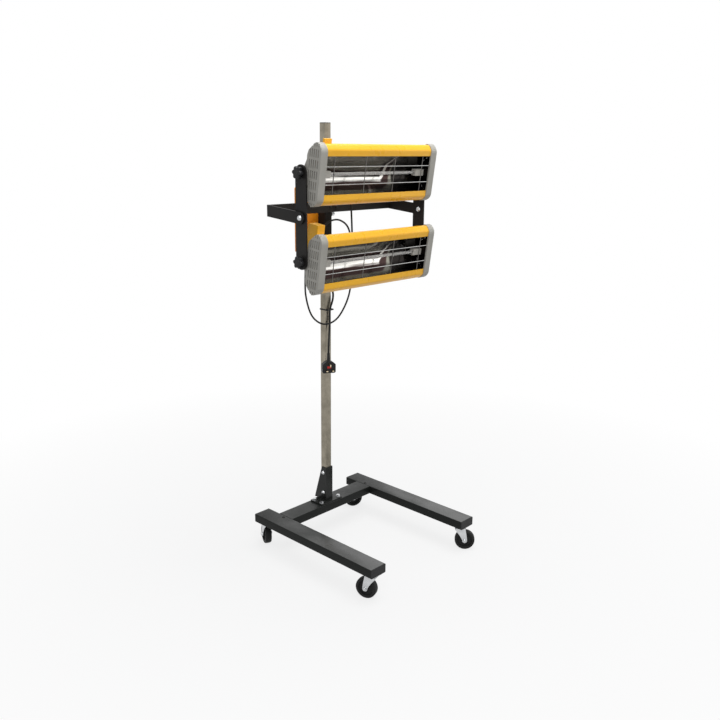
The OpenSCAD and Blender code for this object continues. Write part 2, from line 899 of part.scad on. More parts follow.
module box_bolts() {
    color("#c6c8ca") at_mast() for (x = box_bolt_x, side = [-1, 1]) {
        translate([x, sleeve_out + face_gap, head_z + side * box_bolt_gap / 2 - bracket_rise]) {
            rod_y(ear_t + box_wall - face_gap, screw_d);
            translate([0, ear_t + box_wall - face_gap, 0]) rotate([-90, 0, 0])
                dome(screw_head_d, screw_head_h);
        }
    }
}

module cover_screws() {
    color("#c6c8ca") cover_screw_places() {
        translate([0, cover_t - screw_grip, 0]) rod_y(screw_grip, cover_screw_d);
        translate([0, cover_t, 0]) rotate([-90, 0, 0]) dome(2 * cover_screw_d, cover_screw_d / 2);
    }
}

// Cable glands in the bottom of the box
module box_glands() {
    color("#242424") at_mast() for (x = box_gland_x) {
        translate([x, box_y + box_d / 2, 0]) {
            translate([0, 0, box_low]) cylinder(h = 2 * box_wall, d = box_gland_hole);
            translate([0, 0, box_low - box_gland_l / 3])
                cylinder(h = box_gland_l / 3, d = box_gland_d / cos(30), $fn = 6);
            translate([0, 0, box_low - box_gland_l]) cylinder(h = box_gland_l * 2 / 3, d = box_gland_d - 2);
        }
    }
}

module timer_knob() {
    color("#1e1e1e") at_mast() translate([-box_shift, box_y + box_d + cover_t, timer_z]) {
        translate([0, -cover_t - screw_grip, 0]) rod_y(cover_t + screw_grip + face_gap, timer_shaft_d);
        translate([0, face_gap, 0]) rod_y(timer_t / 4, timer_d);
        translate([0, face_gap + timer_t / 4, 0]) rod_y(timer_t / 4, timer_d * 0.78);
        translate([-timer_shaft_d / 2, face_gap + timer_t / 2, -timer_d * 0.39])
            cube([timer_shaft_d, timer_t / 2, timer_d * 0.78]);
    }
}

// Rocker that leans on its upper or lower half
module rocker(level) {
    half = rocker_h / 2;
    color("#141414") at_rocker(level) along_x(rocker_w) difference() {
        polygon([
            [-rocker_depth, -half * 0.7], [0, -half], [rocker_lift, -half * 0.94], [rocker_lift * 0.45, 0],
            [rocker_low, half * 0.98], [-rocker_low, half], [-rocker_depth, half * 0.7]
        ]);
        translate([-rocker_pin_y, 0]) circle(d = rocker_pin_d + 2 * fit);
    }
}

module rocker_upper() {
    rocker(1);
}

module rocker_lower() {
    rocker(-1);
}

// Head frame

module upright(side) {
    color("#191919") at_head() translate([side * (upright_x + upright_t / 2), 0, 0]) along_x(upright_t)
        difference() {
            union() {
                square([upright_w, head_pitch], center = true);
                for (z = [-1, 1]) {
                    translate([0, z * head_pitch / 2]) circle(d = upright_w);
                }
            }
            for (z = [-1, 0, 1]) {
                translate([0, z * head_pitch / 2]) circle(d = pivot_d + 2 * fit);
            }
        }
}

module upright_left() {
    upright(-1);
}

module upright_right() {
    upright(1);
}

// Pivot bolts of the head frame: a dome outside the arm, a washer in the gap and a dome nut inside
module frame_bolts() {
    nut_x = upright_x - face_gap;
    color("#d6d8da") at_head() for (side = [-1, 1]) {
        mirror([side < 0 ? 1 : 0, 0, 0]) {
            translate([nut_x, 0, 0]) rod_x(arm_out - nut_x, pivot_d);
            translate([arm_out, 0, 0]) rotate([0, 90, 0]) dome(dome_d, dome_h);
            translate([nut_x, 0, 0]) rotate([0, -90, 0]) dome(dome_d, dome_h);
            translate([arm_in - washer_gap + face_gap, 0, 0]) rod_x(washer_gap - face_gap, 1.4 * dome_d);
        }
    }
}

// Cassettes, drawn in [y, z] round the pivot, facing -Y

// Half of the housing's outer line, from the edge of the opening over the shoulder to the back
function housing_half() = [
    [-face_y, opening_h / 2], [-face_y - nose_out, opening_h / 2 + nose_h],
    [-shoulder_y, housing_h / 2], [-crest_y, housing_h / 2], [-heel_y, heel_h], [-back_y, back_h]
];

function mirrored(line) = [for (i = [len(line) - 1 : -1 : 0]) [line[i].x, -line[i].y]];

function softened(line, r, n) = [for (i = [0 : len(line) - 1])
    each i == 0 || i == len(line) - 1 ? [line[i]] : corner(line[i - 1], line[i], line[i + 1], r, n)];

module housing(level) {
    outer = softened(concat(housing_half(), mirrored(housing_half())), fold_r, fold_steps);
    inner = beside(outer, -housing_wall);
    last = len(inner) - 1;
    color("#f0b020") at_cassette(level) along_x(housing_len)
        polygon(concat(outer, [for (i = [last : -1 : 0]) inner[i]]));
}

// Outline of an end cap, a rim's width larger than the housing, with rounded corners
module endcap_outline(grow) {
    half = housing_h / 2 + grow;
    polygon(rounded([
        [-face_y - nose_out - grow, -opening_h / 2 - nose_h, cap_nose_r + grow],
        [-shoulder_y, -half, cap_top_r + grow], [-crest_y, -half, cap_crest_r + grow / 2],
        [-heel_y + grow, -heel_h, cap_heel_r + grow], [-back_y + grow, -back_h, cap_back_r + grow],
        [-back_y + grow, back_h, cap_back_r + grow], [-heel_y + grow, heel_h, cap_heel_r + grow],
        [-crest_y, half, cap_crest_r + grow / 2], [-shoulder_y, half, cap_top_r + grow],
        [-face_y - nose_out - grow, opening_h / 2 + nose_h, cap_nose_r + grow]
    ]));
}

// Slotted die-cast cap with a lug behind it for the pivot
module end_cap(side) {
    middle = (face_y + back_y) / 2;
    difference() {
        union() {
            translate([side * (housing_len + endcap_t) / 2, 0, 0]) along_x(endcap_t) endcap_outline(cap_rim);
            translate([side * (cassette_out - lug_t / 2), 0, 0]) along_x(lug_t) {
                polygon([[-back_y, -heel_h * 0.7], [0, -lug_r], [0, lug_r], [-back_y, heel_h * 0.7]]);
                circle(lug_r);
            }
        }
        translate([side * (housing_len / 2 + (endcap_t - cap_wall - over) / 2), 0, 0])
            along_x(endcap_t - cap_wall + over) endcap_outline(-cap_wall);
        for (i = [-2 : 2], j = [-3 : 3]) {
            translate([side * (cassette_out - cap_wall / 2), -middle + i * slot_pitch_y, j * slot_pitch_z])
                cube([cap_wall + 2 * over, slot_w, slot_h], center = true);
        }
        translate([side * (cassette_out - lug_t / 2), 0, 0]) rotate([0, 90, 0])
            cylinder(h = lug_t + 2 * over, d = pivot_d + 2 * fit, center = true);
        for (z = [-1, 1]) {
            translate([side * (housing_len / 2 + wire_inset), -face_y - wire_inset / 2, z * wire_z])
                rotate([0, 90, 0]) cylinder(h = 2 * wire_inset + over, d = wire_d + 2 * fit, center = true);
        }
    }
}

module end_caps(level) {
    color("#a5a6a4") at_cassette(level) for (side = [-1, 1]) end_cap(side);
}

// Point of the reflector's curve, from one edge (s = -1) to the other (s = 1)
function trough(s) =
    [-face_y + housing_wall + face_gap + reflector_depth * (1 - s * s), s * (opening_h / 2 - face_gap)];

function trough_line() = [for (i = [0 : reflector_steps]) trough(2 * i / reflector_steps - 1)];

// Line of the reflector: the trough with a lip behind the housing's front at each edge
function reflector_line() =
    let (lip = opening_h / 2 + reflector_lip, curve = trough_line())
    concat([[curve[0].x, -lip]], curve, [[curve[0].x, lip]]);

module reflector(level) {
    curve = reflector_line();
    back = beside(curve, -reflector_t);
    last = len(back) - 1;
    plate_x = housing_len / 2 - reflector_t / 2;
    color("#d9dbdc") at_cassette(level) {
        along_x(housing_len) polygon(concat(curve, [for (i = [last : -1 : 0]) back[i]]));
        for (side = [-1, 1]) {
            translate([side * plate_x, 0, 0]) along_x(reflector_t) difference() {
                polygon(trough_line());
                translate([-lamp_y, 0]) circle(d = lamp_d + 2 * reflector_t);
            }
        }
    }
}

module lamp(level) {
    color("#d8d0c4") at_cassette(level) translate([-lamp_len / 2, -lamp_y, 0]) rod_x(lamp_len, lamp_d);
}

// Ceramic holders that carry the ends of the lamp
module lamp_holders(level) {
    plate_x = housing_len / 2 - reflector_t;
    color("#e6e2d6") at_cassette(level) for (side = [-1, 1]) {
        mirror([side < 0 ? 1 : 0, 0, 0]) difference() {
            translate([lamp_len / 2 - holder_l / 2, -lamp_y - holder_w / 2, -holder_h / 2])
                cube([plate_x - lamp_len / 2 + holder_l / 2, holder_w, holder_h]);
            translate([lamp_len / 2 - holder_l, -lamp_y, 0]) rod_x(holder_l, lamp_d + 2 * fit);
        }
    }
}

// Wire grille across the opening
module grille(level) {
    wire_len = housing_len + 2 * wire_inset;
    color("#c9cccd") at_cassette(level) translate([0, -face_y - wire_inset / 2, 0]) {
        for (z = [-1, 1]) {
            translate([-wire_len / 2, 0, z * wire_z]) rod_x(wire_len, wire_d);
        }
        for (share = bar_shares) {
            translate([share * housing_len, wire_d * 0.8, -opening_h / 2 + 3 * face_gap])
                cylinder(h = opening_h - 6 * face_gap, d = wire_d);
        }
    }
}

// Outline of the upper terminal box, hooked over the housing's crest, or of the taller lower one
function terminal_outline(level, inset) =
    let (low = -terminal_low + inset, rear = (level > 0 ? terminal_edge * 3 : terminal_rear) - inset)
    let (wall = [[-heel_y, heel_h], [-back_y + inset, back_h]])
    level > 0
        ? [[-back_y + inset, low], [rear, low], [rear, heel_h - inset], [-back_y, hood_h - 2 * inset],
            [-heel_y, heel_h + inset * 2], wall[1]]
        : [[-back_y + inset, low], [rear, low], [rear, terminal_top - terminal_edge - inset],
            [rear - terminal_edge, terminal_top - inset], [-hood_y + inset, terminal_top - inset],
            [-hood_y + inset, hood_h], [-heel_y + inset, heel_h + inset * 2], wall[1]];

// Terminal box behind the left end of a housing, with a gland on the pivot's axis
module terminal_box(level) {
    right_x = -terminal_x + terminal_w / 2;
    hook = [[-back_y, hood_h], [-hook_y, crest_top], [-hook_y, hook_top], [-crest_y + fit, hook_top],
        [-crest_y + fit, housing_h / 2], [-heel_y, heel_h]];
    color("#f0b020") at_cassette(level) {
        difference() {
            translate([-terminal_x, 0, 0]) union() {
                along_x(terminal_w) polygon(terminal_outline(level, 0));
                if (level > 0) along_x(terminal_w) polygon(hook);
            }
            translate([-terminal_x, 0, 0])
                along_x(terminal_w - 2 * housing_wall) polygon(terminal_outline(level, housing_wall));
        }
        translate([right_x - fit, 0, 0]) rod_x(gland_l / 3 + fit, gland_d);
        translate([right_x, 0, 0]) rod_x(gland_l, gland_d * 0.7);
    }
}

module pivot_studs(level) {
    inner_x = cassette_out - lug_t;
    color("#c6c8ca") at_cassette(level) for (side = [-1, 1]) {
        mirror([side < 0 ? 1 : 0, 0, 0]) {
            translate([inner_x, 0, 0]) rod_x(upright_x + upright_t + stud_reach - inner_x, pivot_d);
            translate([inner_x, 0, 0]) rotate([0, -90, 0]) dome(dome_d, dome_h);
            translate([cassette_out, 0, 0]) rod_x(spacer_l + face_gap, spacer_d);
        }
    }
}

// Lobed knob that clamps a cassette's tilt, outside the upright
module knob(level, side) {
    seat = upright_x + upright_t + face_gap;
    lobe_r = knob_d * 0.15;
    color("#161616") at_cassette(level) mirror([side < 0 ? 1 : 0, 0, 0]) difference() {
        union() {
            translate([seat, 0, 0]) rod_x(knob_t / 4, knob_boss_d);
            translate([seat + knob_t / 4 + knob_t * 3 / 8, 0, 0]) along_x(knob_t * 3 / 4) {
                circle(d = knob_d - 2 * lobe_r);
                for (i = [0 : 5]) {
                    rotate(60 * i) translate([knob_d / 2 - lobe_r, 0]) circle(lobe_r);
                }
            }
        }
        translate([seat - over, 0, 0]) rod_x(stud_reach + over, pivot_d + 2 * fit);
    }
}

module upper_housing() {
    housing(1);
}

module upper_end_caps() {
    end_caps(1);
}

module upper_reflector() {
    reflector(1);
}

module upper_lamp() {
    lamp(1);
}

module upper_lamp_holders() {
    lamp_holders(1);
}

module upper_grille() {
    grille(1);
}

module upper_terminal_box() {
    terminal_box(1);
}

module upper_pivot_studs() {
    pivot_studs(1);
}

module upper_knob_left() {
    knob(1, -1);
}

module upper_knob_right() {
    knob(1, 1);
}

module lower_housing() {
    housing(-1);
}

module lower_end_caps() {
    end_caps(-1);
}

module lower_reflector() {
    reflector(-1);
}

module lower_lamp() {
    lamp(-1);
}

module lower_lamp_holders() {
    lamp_holders(-1);
}

module lower_grille() {
    grille(-1);
}

module lower_terminal_box() {
    terminal_box(-1);
}

module lower_pivot_studs() {
    pivot_studs(-1);
}

module lower_knob_left() {
    knob(-1, -1);
}

module lower_knob_right() {
    knob(-1, 1);
}

// Leads and plug

module lead(route, d) {
    color("#151515") at_mast() tube(smooth(route, 2), d, 8);
}

module upper_lead() {
    lead(upper_route, lead_d);
}

module lower_lead() {
    lead(lower_route, lead_d);
}

module mains_lead() {
    lead(mains_route, mains_d);
}

module at_plug() {
    at_mast() translate(plug_at) rotate([0, 0, plug_yaw]) children();
}

// Moulded three-pin plug, its pin face towards -Y, with a tapered strain relief on top
module plug_body() {
    color("#141414") at_plug() difference() {
        union() {
            along_y(plug_t) polygon(rounded([
                [-plug_w / 2, -plug_h / 2, plug_edge], [plug_w / 2, -plug_h / 2, plug_edge],
                [plug_w / 2, plug_h / 4, plug_edge], [plug_w / 5, plug_h / 2, plug_edge],
                [-plug_w / 5, plug_h / 2, plug_edge], [-plug_w / 2, plug_h / 4, plug_edge]
            ]));
            translate([0, 0, plug_h / 2]) cylinder(h = relief_l, d1 = relief_low_d, d2 = relief_top_d);
        }
        translate([0, -plug_t / 2, -pin_low + pin_rise / 2])
            cube([fuse_w + 2 * fit, 2 * fuse_inset, fuse_h + 2 * fit], center = true);
        plug_pin_holes();
    }
}

module plug_pin_holes() {
    for (side = [-1, 1]) {
        translate([side * pin_half, -plug_t / 2, -pin_low])
            cube([pin_w + 2 * fit, 2 * pin_t, pin_t + 2 * fit], center = true);
    }
    translate([0, -plug_t / 2, pin_rise - pin_low])
        cube([pin_t + 2 * fit, 2 * pin_t, earth_w + 2 * fit], center = true);
}

module plug_pins() {
    color("#d8c98a") at_plug() {
        for (side = [-1, 1]) {
            translate([side * pin_half, -plug_t / 2 - (pin_l - pin_t) / 2, -pin_low])
                cube([pin_w, pin_l + pin_t, pin_t], center = true);
        }
        translate([0, -plug_t / 2 - (earth_l - pin_t) / 2, pin_rise - pin_low])
            cube([pin_t, earth_l + pin_t, earth_w], center = true);
    }
}

module fuse_cover() {
    color("#b3212a") at_plug() translate([0, -plug_t / 2 - fuse_t / 2 + fuse_inset, -pin_low + pin_rise / 2])
        cube([fuse_w, fuse_t, fuse_h], center = true);
}

leg_left();
leg_right();
cross_beam();
leg_end_caps();
beam_screws();
castor_plates();
castor_fork_fl();
castor_fork_fr();
castor_fork_bl();
castor_fork_br();
wheel_fl();
wheel_fr();
wheel_bl();
wheel_br();
mast_foot();
foot_bolts();
mast();
mast_cap();
sleeve();
bracket();
bracket_bolts();
clamp_lever();
cable_tie();
control_box();
box_cover();
box_bolts();
cover_screws();
box_glands();
timer_knob();
rocker_upper();
rocker_lower();
upright_left();
upright_right();
frame_bolts();
upper_housing();
upper_end_caps();
upper_reflector();
upper_lamp();
upper_lamp_holders();
upper_grille();
upper_terminal_box();
upper_pivot_studs();
upper_knob_left();
upper_knob_right();
lower_housing();
lower_end_caps();
lower_reflector();
lower_lamp();
lower_lamp_holders();
lower_grille();
lower_terminal_box();
lower_pivot_studs();
lower_knob_left();
lower_knob_right();
upper_lead();
lower_lead();
mains_lead();
plug_body();
plug_pins();
fuse_cover();
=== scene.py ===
"""Looks of a mobile infrared curing lamp: two heater cassettes on a square mast over a wheeled stand.

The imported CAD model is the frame. Nodes whose shapes are right get a finish, nodes whose edges are
rounded on the real lamp are replaced by softened copies, and the wheels, forks, knobs, grilles,
reflectors, lamps and leads are surfaces worked out here. Sizes are in millimetres in the CAD's frame.
"""

from __future__ import annotations

import json
import logging
import math
from dataclasses import dataclass, field
from enum import Enum
from typing import Protocol, Sequence

import bmesh
import bpy
import numpy as np
from mathutils import Matrix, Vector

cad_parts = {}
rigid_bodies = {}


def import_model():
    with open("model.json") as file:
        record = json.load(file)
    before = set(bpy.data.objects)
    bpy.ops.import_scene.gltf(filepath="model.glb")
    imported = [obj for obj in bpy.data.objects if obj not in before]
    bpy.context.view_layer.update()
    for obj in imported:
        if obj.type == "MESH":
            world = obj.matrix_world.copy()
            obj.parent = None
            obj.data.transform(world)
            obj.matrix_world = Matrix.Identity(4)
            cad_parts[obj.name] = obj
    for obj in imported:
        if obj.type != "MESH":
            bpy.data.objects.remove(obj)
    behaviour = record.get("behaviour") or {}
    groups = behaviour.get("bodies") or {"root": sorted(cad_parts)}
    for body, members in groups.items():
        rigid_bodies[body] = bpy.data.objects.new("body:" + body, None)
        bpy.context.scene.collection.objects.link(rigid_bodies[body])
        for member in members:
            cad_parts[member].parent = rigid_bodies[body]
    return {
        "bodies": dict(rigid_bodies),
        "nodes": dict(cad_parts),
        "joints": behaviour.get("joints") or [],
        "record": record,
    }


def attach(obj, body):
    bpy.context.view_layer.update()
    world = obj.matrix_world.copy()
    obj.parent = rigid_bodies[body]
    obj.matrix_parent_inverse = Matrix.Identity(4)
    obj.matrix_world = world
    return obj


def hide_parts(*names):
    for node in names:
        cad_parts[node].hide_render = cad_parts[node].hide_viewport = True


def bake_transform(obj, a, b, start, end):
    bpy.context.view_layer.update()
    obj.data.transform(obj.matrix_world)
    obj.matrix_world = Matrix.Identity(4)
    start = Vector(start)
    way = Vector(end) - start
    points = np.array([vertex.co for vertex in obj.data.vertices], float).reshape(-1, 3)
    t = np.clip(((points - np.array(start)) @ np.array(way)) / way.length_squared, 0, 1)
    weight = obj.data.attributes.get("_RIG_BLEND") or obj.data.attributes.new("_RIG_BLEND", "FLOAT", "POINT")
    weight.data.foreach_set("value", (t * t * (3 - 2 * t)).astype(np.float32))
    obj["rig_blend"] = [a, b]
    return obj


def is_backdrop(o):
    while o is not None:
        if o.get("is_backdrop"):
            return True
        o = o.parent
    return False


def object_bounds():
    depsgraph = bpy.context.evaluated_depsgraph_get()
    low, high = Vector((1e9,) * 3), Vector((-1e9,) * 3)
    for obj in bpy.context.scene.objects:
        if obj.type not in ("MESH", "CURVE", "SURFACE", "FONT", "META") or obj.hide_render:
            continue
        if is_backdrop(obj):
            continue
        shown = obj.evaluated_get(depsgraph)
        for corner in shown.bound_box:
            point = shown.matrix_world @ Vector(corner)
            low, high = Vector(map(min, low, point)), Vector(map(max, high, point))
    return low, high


Array = np.ndarray
LOG = logging.getLogger("curing_lamp")
MM = 0.001
HARD_EDGE = 38.0  # degrees: an edge that turns more than this stays sharp or is bevelled
MERGE = 1e-6  # metres within which points of a new shape are one
MAST_Y = 203.0
HEAD_Y = 11.0
HEAD_Z = 1250.0
PITCH = 280.0
TILT = 8.0


class Body(Enum):
    """Bodies of the CAD model that new pieces ride on."""

    CARRIAGE = "carriage"
    HEAD = "head_frame"
    CLAMP = "clamp"
    TIMER = "timer"
    UPPER = "upper_cassette"
    LOWER = "lower_cassette"


class Level(Enum):
    """The two cassettes, with the height of each pivot above the head frame's axis."""

    UPPER = PITCH / 2
    LOWER = -PITCH / 2

    @property
    def label(self) -> str:
        """Prefix of this cassette's node names."""
        return self.name.lower()

    @property
    def body(self) -> str:
        """Name of the body that this cassette's pieces ride on."""
        return f"{self.label}_cassette"


# Finishes


class Bench:
    """Node tree of one material, with short ways to add its procedural parts."""

    NOISE_LOW = 0.3
    NOISE_HIGH = 0.7

    def __init__(self, name: str, colour: Sequence[float], roughness: float, metallic: float) -> None:
        """Starts a material with one Principled shader.

        Args:
            name: the material's name.
            colour: the base colour, linear RGB.
            roughness: the shader's roughness.
            metallic: 1 for a metal, 0 otherwise.
        """
        self.material = bpy.data.materials.new(name)
        self.material.use_nodes = True
        self.tree = self.material.node_tree
        self.shader = self.tree.nodes["Principled BSDF"]
        self.shader.inputs["Base Color"].default_value = (*colour[:3], 1.0)
        self.shader.inputs["Roughness"].default_value = roughness
        self.shader.inputs["Metallic"].default_value = metallic
        self.coordinates = self.tree.nodes.new("ShaderNodeTexCoord").outputs["Object"]

    def noise(self, scale: float, detail: float = 4.0,
              stretch: Sequence[float] = (1, 1, 1)) -> bpy.types.NodeSocket:
        """Adds a noise pattern on Object coordinates.

        Args:
            scale: cycles per metre.
            detail: octaves of the noise.
            stretch: scale of each axis.

        Returns:
            The noise's factor.
        """
        mapping = self.tree.nodes.new("ShaderNodeMapping")
        mapping.inputs["Scale"].default_value = stretch
        texture = self.tree.nodes.new("ShaderNodeTexNoise")
        texture.inputs["Scale"].default_value = scale
        texture.inputs["Detail"].default_value = detail
        self.tree.links.new(self.coordinates, mapping.inputs["Vector"])
        self.tree.links.new(mapping.outputs["Vector"], texture.inputs["Vector"])
        return texture.outputs["Fac"]

    def ramp(self, factor: bpy.types.NodeSocket,
             stops: Sequence[tuple[float, Sequence[float]]]) -> bpy.types.NodeSocket:
        """Turns a factor into colours.

        Args:
            factor: the value that drives the ramp.
            stops: pairs of place and colour.

        Returns:
            The ramp's colour.
        """
        node = self.tree.nodes.new("ShaderNodeValToRGB")
        points = node.color_ramp.elements
        while len(points) < len(stops):
            points.new(0.5)
        for point, (place, colour) in zip(points, stops):
            point.position = place
            point.color = (*colour[:3], 1.0)
        self.tree.links.new(factor, node.inputs["Fac"])
        return node.outputs["Color"]

    def spread(self, factor: bpy.types.NodeSocket, low: float, high: float) -> bpy.types.NodeSocket:
        """Maps the middle of a noise's range to low..high.

        Args:
            factor: the noise.
            low: result where the noise is low.
            high: result where it is high.

        Returns:
            The mapped value.
        """
        node = self.tree.nodes.new("ShaderNodeMapRange")
        ends = (("From Min", self.NOISE_LOW), ("From Max", self.NOISE_HIGH), ("To Min", low), ("To Max", high))
        for key, value in ends:
            node.inputs[key].default_value = value
        self.tree.links.new(factor, node.inputs["Value"])
        return node.outputs["Result"]

    def bump(self, height: bpy.types.NodeSocket, depth: float, strength: float = 1.0) -> None:
        """Adds a bump; a second call stacks on the first.

        Args:
            height: the pattern.
            depth: its depth in metres.
            strength: how strongly it shows.
        """
        node = self.tree.nodes.new("ShaderNodeBump")
        node.inputs["Distance"].default_value = depth
        node.inputs["Strength"].default_value = strength
        self.tree.links.new(height, node.inputs["Height"])
        normal = self.shader.inputs["Normal"]
        if normal.links:
            self.tree.links.new(normal.links[0].from_socket, node.inputs["Normal"])
        self.tree.links.new(node.outputs["Normal"], normal)

    def feed(self, socket: str, value: bpy.types.NodeSocket) -> None:
        """Links a value to the shader's named socket."""
        self.tree.links.new(value, self.shader.inputs[socket])

    def within(self, axis: int, low: float, high: float, before: float, after: float) -> bpy.types.NodeSocket:
        """Value that goes from before to after as an Object coordinate goes from low to high, in metres.

        Args:
            axis: 0, 1 or 2 for X, Y or Z.
            low: where the change starts.
            high: where it ends.
            before: the value up to low.
            after: the value from high on.

        Returns:
            The value.
        """
        split = self.tree.nodes.new("ShaderNodeSeparateXYZ")
        change = self.tree.nodes.new("ShaderNodeMapRange")
        for key, value in (("From Min", low), ("From Max", high), ("To Min", before), ("To Max", after)):
            change.inputs[key].default_value = value
        self.tree.links.new(self.coordinates, split.inputs["Vector"])
        self.tree.links.new(split.outputs[axis], change.inputs["Value"])
        return change.outputs["Result"]

    def times(self, first: bpy.types.NodeSocket, second: bpy.types.NodeSocket) -> bpy.types.NodeSocket:
        """Product of two values."""
        node = self.tree.nodes.new("ShaderNodeMath")
        node.operation = "MULTIPLY"
        self.tree.links.new(first, node.inputs[0])
        self.tree.links.new(second, node.inputs[1])
        return node.outputs["Value"]


class Finish(Protocol):
    """Anything that can make its material."""

    name: str

    def build(self) -> bpy.types.Material:
        """Makes the material."""
        ...


@dataclass(frozen=True)
class Paint:
    """Sprayed or powder-coated paint with orange peel, slight shade changes and a gloss that varies."""

    name: str
    colour: tuple[float, float, float]
    shade: tuple[float, float, float]
    roughness: float
    spread: float
    coat: float
    peel: float = 0.00004
    peel_scale: float = 700.0
    specular: float = 0.25
    tone_scale: float = 9.0
    gloss_scale: float = 34.0
    coat_roughness: float = 0.08

    def build(self) -> bpy.types.Material:
        """Makes the material."""
        bench = Bench(self.name, self.colour, self.roughness, 0.0)
        tone, gloss = bench.noise(self.tone_scale, 6.0), bench.noise(self.gloss_scale, 8.0)
        bench.feed("Base Color", bench.ramp(tone, [(0.35, self.colour), (0.7, self.shade)]))
        bench.feed("Roughness", bench.spread(gloss, self.roughness - self.spread, self.roughness + self.spread))
        bench.shader.inputs["Specular IOR Level"].default_value = self.specular
        bench.shader.inputs["Coat Weight"].default_value = self.coat
        bench.shader.inputs["Coat Roughness"].default_value = self.coat_roughness
        bench.bump(bench.noise(self.peel_scale, 2.0), self.peel)
        return bench.material


@dataclass(frozen=True)
class BaseEnamel:
    """Black enamel of the base: dull on its sides, rubbed to a sheen on the tops, more so near the front."""

    name: str
    colour: tuple[float, float, float]
    roughness: float
    spread: float = 0.08
    top: float = 0.1262
    edge: float = 0.0006
    front: float = -0.30
    rear: float = 0.28
    rear_share: float = 0.35
    coat_roughness: float = 0.3
    rub_scale: float = 7.0
    gloss_scale: float = 60.0
    peel_scale: float = 900.0
    brush_scale: float = 300.0
    depth: float = 0.00004

    def build(self) -> bpy.types.Material:
        """Makes the material."""
        bench = Bench(self.name, self.colour, self.roughness, 0.0)
        rubbed = bench.spread(bench.noise(self.rub_scale, 8.0, (1.0, 0.7, 1.0)), 0.35, 1.0)
        on_top = bench.within(2, self.top, self.top + self.edge, 0.0, 1.0)
        forward = bench.within(1, self.front, self.rear, 1.0, self.rear_share)
        sheen = bench.times(bench.times(on_top, forward), rubbed)
        bench.feed("Coat Weight", sheen)
        bench.shader.inputs["Coat Roughness"].default_value = self.coat_roughness
        bench.feed("Specular IOR Level", bench.spread(sheen, 0.1, 0.6))
        gloss = bench.noise(self.gloss_scale, 8.0)
        bench.feed("Roughness", bench.spread(gloss, self.roughness - self.spread, self.roughness + self.spread))
        bench.bump(bench.noise(self.peel_scale, 2.0), self.depth)
        bench.bump(bench.noise(self.brush_scale, 9.0, (1.0, 0.1, 1.0)), self.depth, 0.5)
        return bench.material


@dataclass(frozen=True)
class Metal:
    """Bare or plated metal with streaks along one axis, a mottled tone and fine scratches."""

    name: str
    colour: tuple[float, float, float]
    shade: tuple[float, float, float]
    roughness: float
    spread: float
    streak: tuple[float, float, float] = (1, 1, 1)
    streak_scale: float = 160.0
    mottle_scale: float = 24.0
    depth: float = 0.00002

    def build(self) -> bpy.types.Material:
        """Makes the material."""
        bench = Bench(self.name, self.colour, self.roughness, 1.0)
        streaks = bench.noise(self.streak_scale, 5.0, self.streak)
        mottle = bench.noise(self.mottle_scale, 7.0)
        bench.feed("Base Color", bench.ramp(mottle, [(0.32, self.shade), (0.62, self.colour)]))
        bench.feed("Roughness", bench.spread(streaks, self.roughness - self.spread, self.roughness + self.spread))
        bench.bump(streaks, self.depth)
        return bench.material


@dataclass(frozen=True)
class Moulded:
    """Moulded plastic, ceramic or rubber with a fine spark-eroded grain."""

    name: str
    colour: tuple[float, float, float]
    shade: tuple[float, float, float]
    roughness: float
    grain_scale: float = 1500.0
    grain: float = 0.00004
    scuffs: float = 0.0
    specular: float = 0.5
    spread: float = 0.08
    tone_scale: float = 26.0
    gloss_scale: float = 60.0
    scuff_scale: float = 90.0
    scuff_depth: float = 0.0001

    def build(self) -> bpy.types.Material:
        """Makes the material."""
        bench = Bench(self.name, self.colour, self.roughness, 0.0)
        bench.shader.inputs["Specular IOR Level"].default_value = self.specular
        tone, gloss = bench.noise(self.tone_scale, 7.0), bench.noise(self.gloss_scale, 6.0)
        bench.feed("Base Color", bench.ramp(tone, [(0.36, self.colour), (0.72, self.shade)]))
        bench.feed("Roughness", bench.spread(gloss, self.roughness - self.spread, self.roughness + self.spread))
        bench.bump(bench.noise(self.grain_scale, 2.0), self.grain)
        if self.scuffs:
            bench.bump(bench.noise(self.scuff_scale, 9.0, (1.0, 4.0, 1.0)), self.scuff_depth, self.scuffs)
        return bench.material


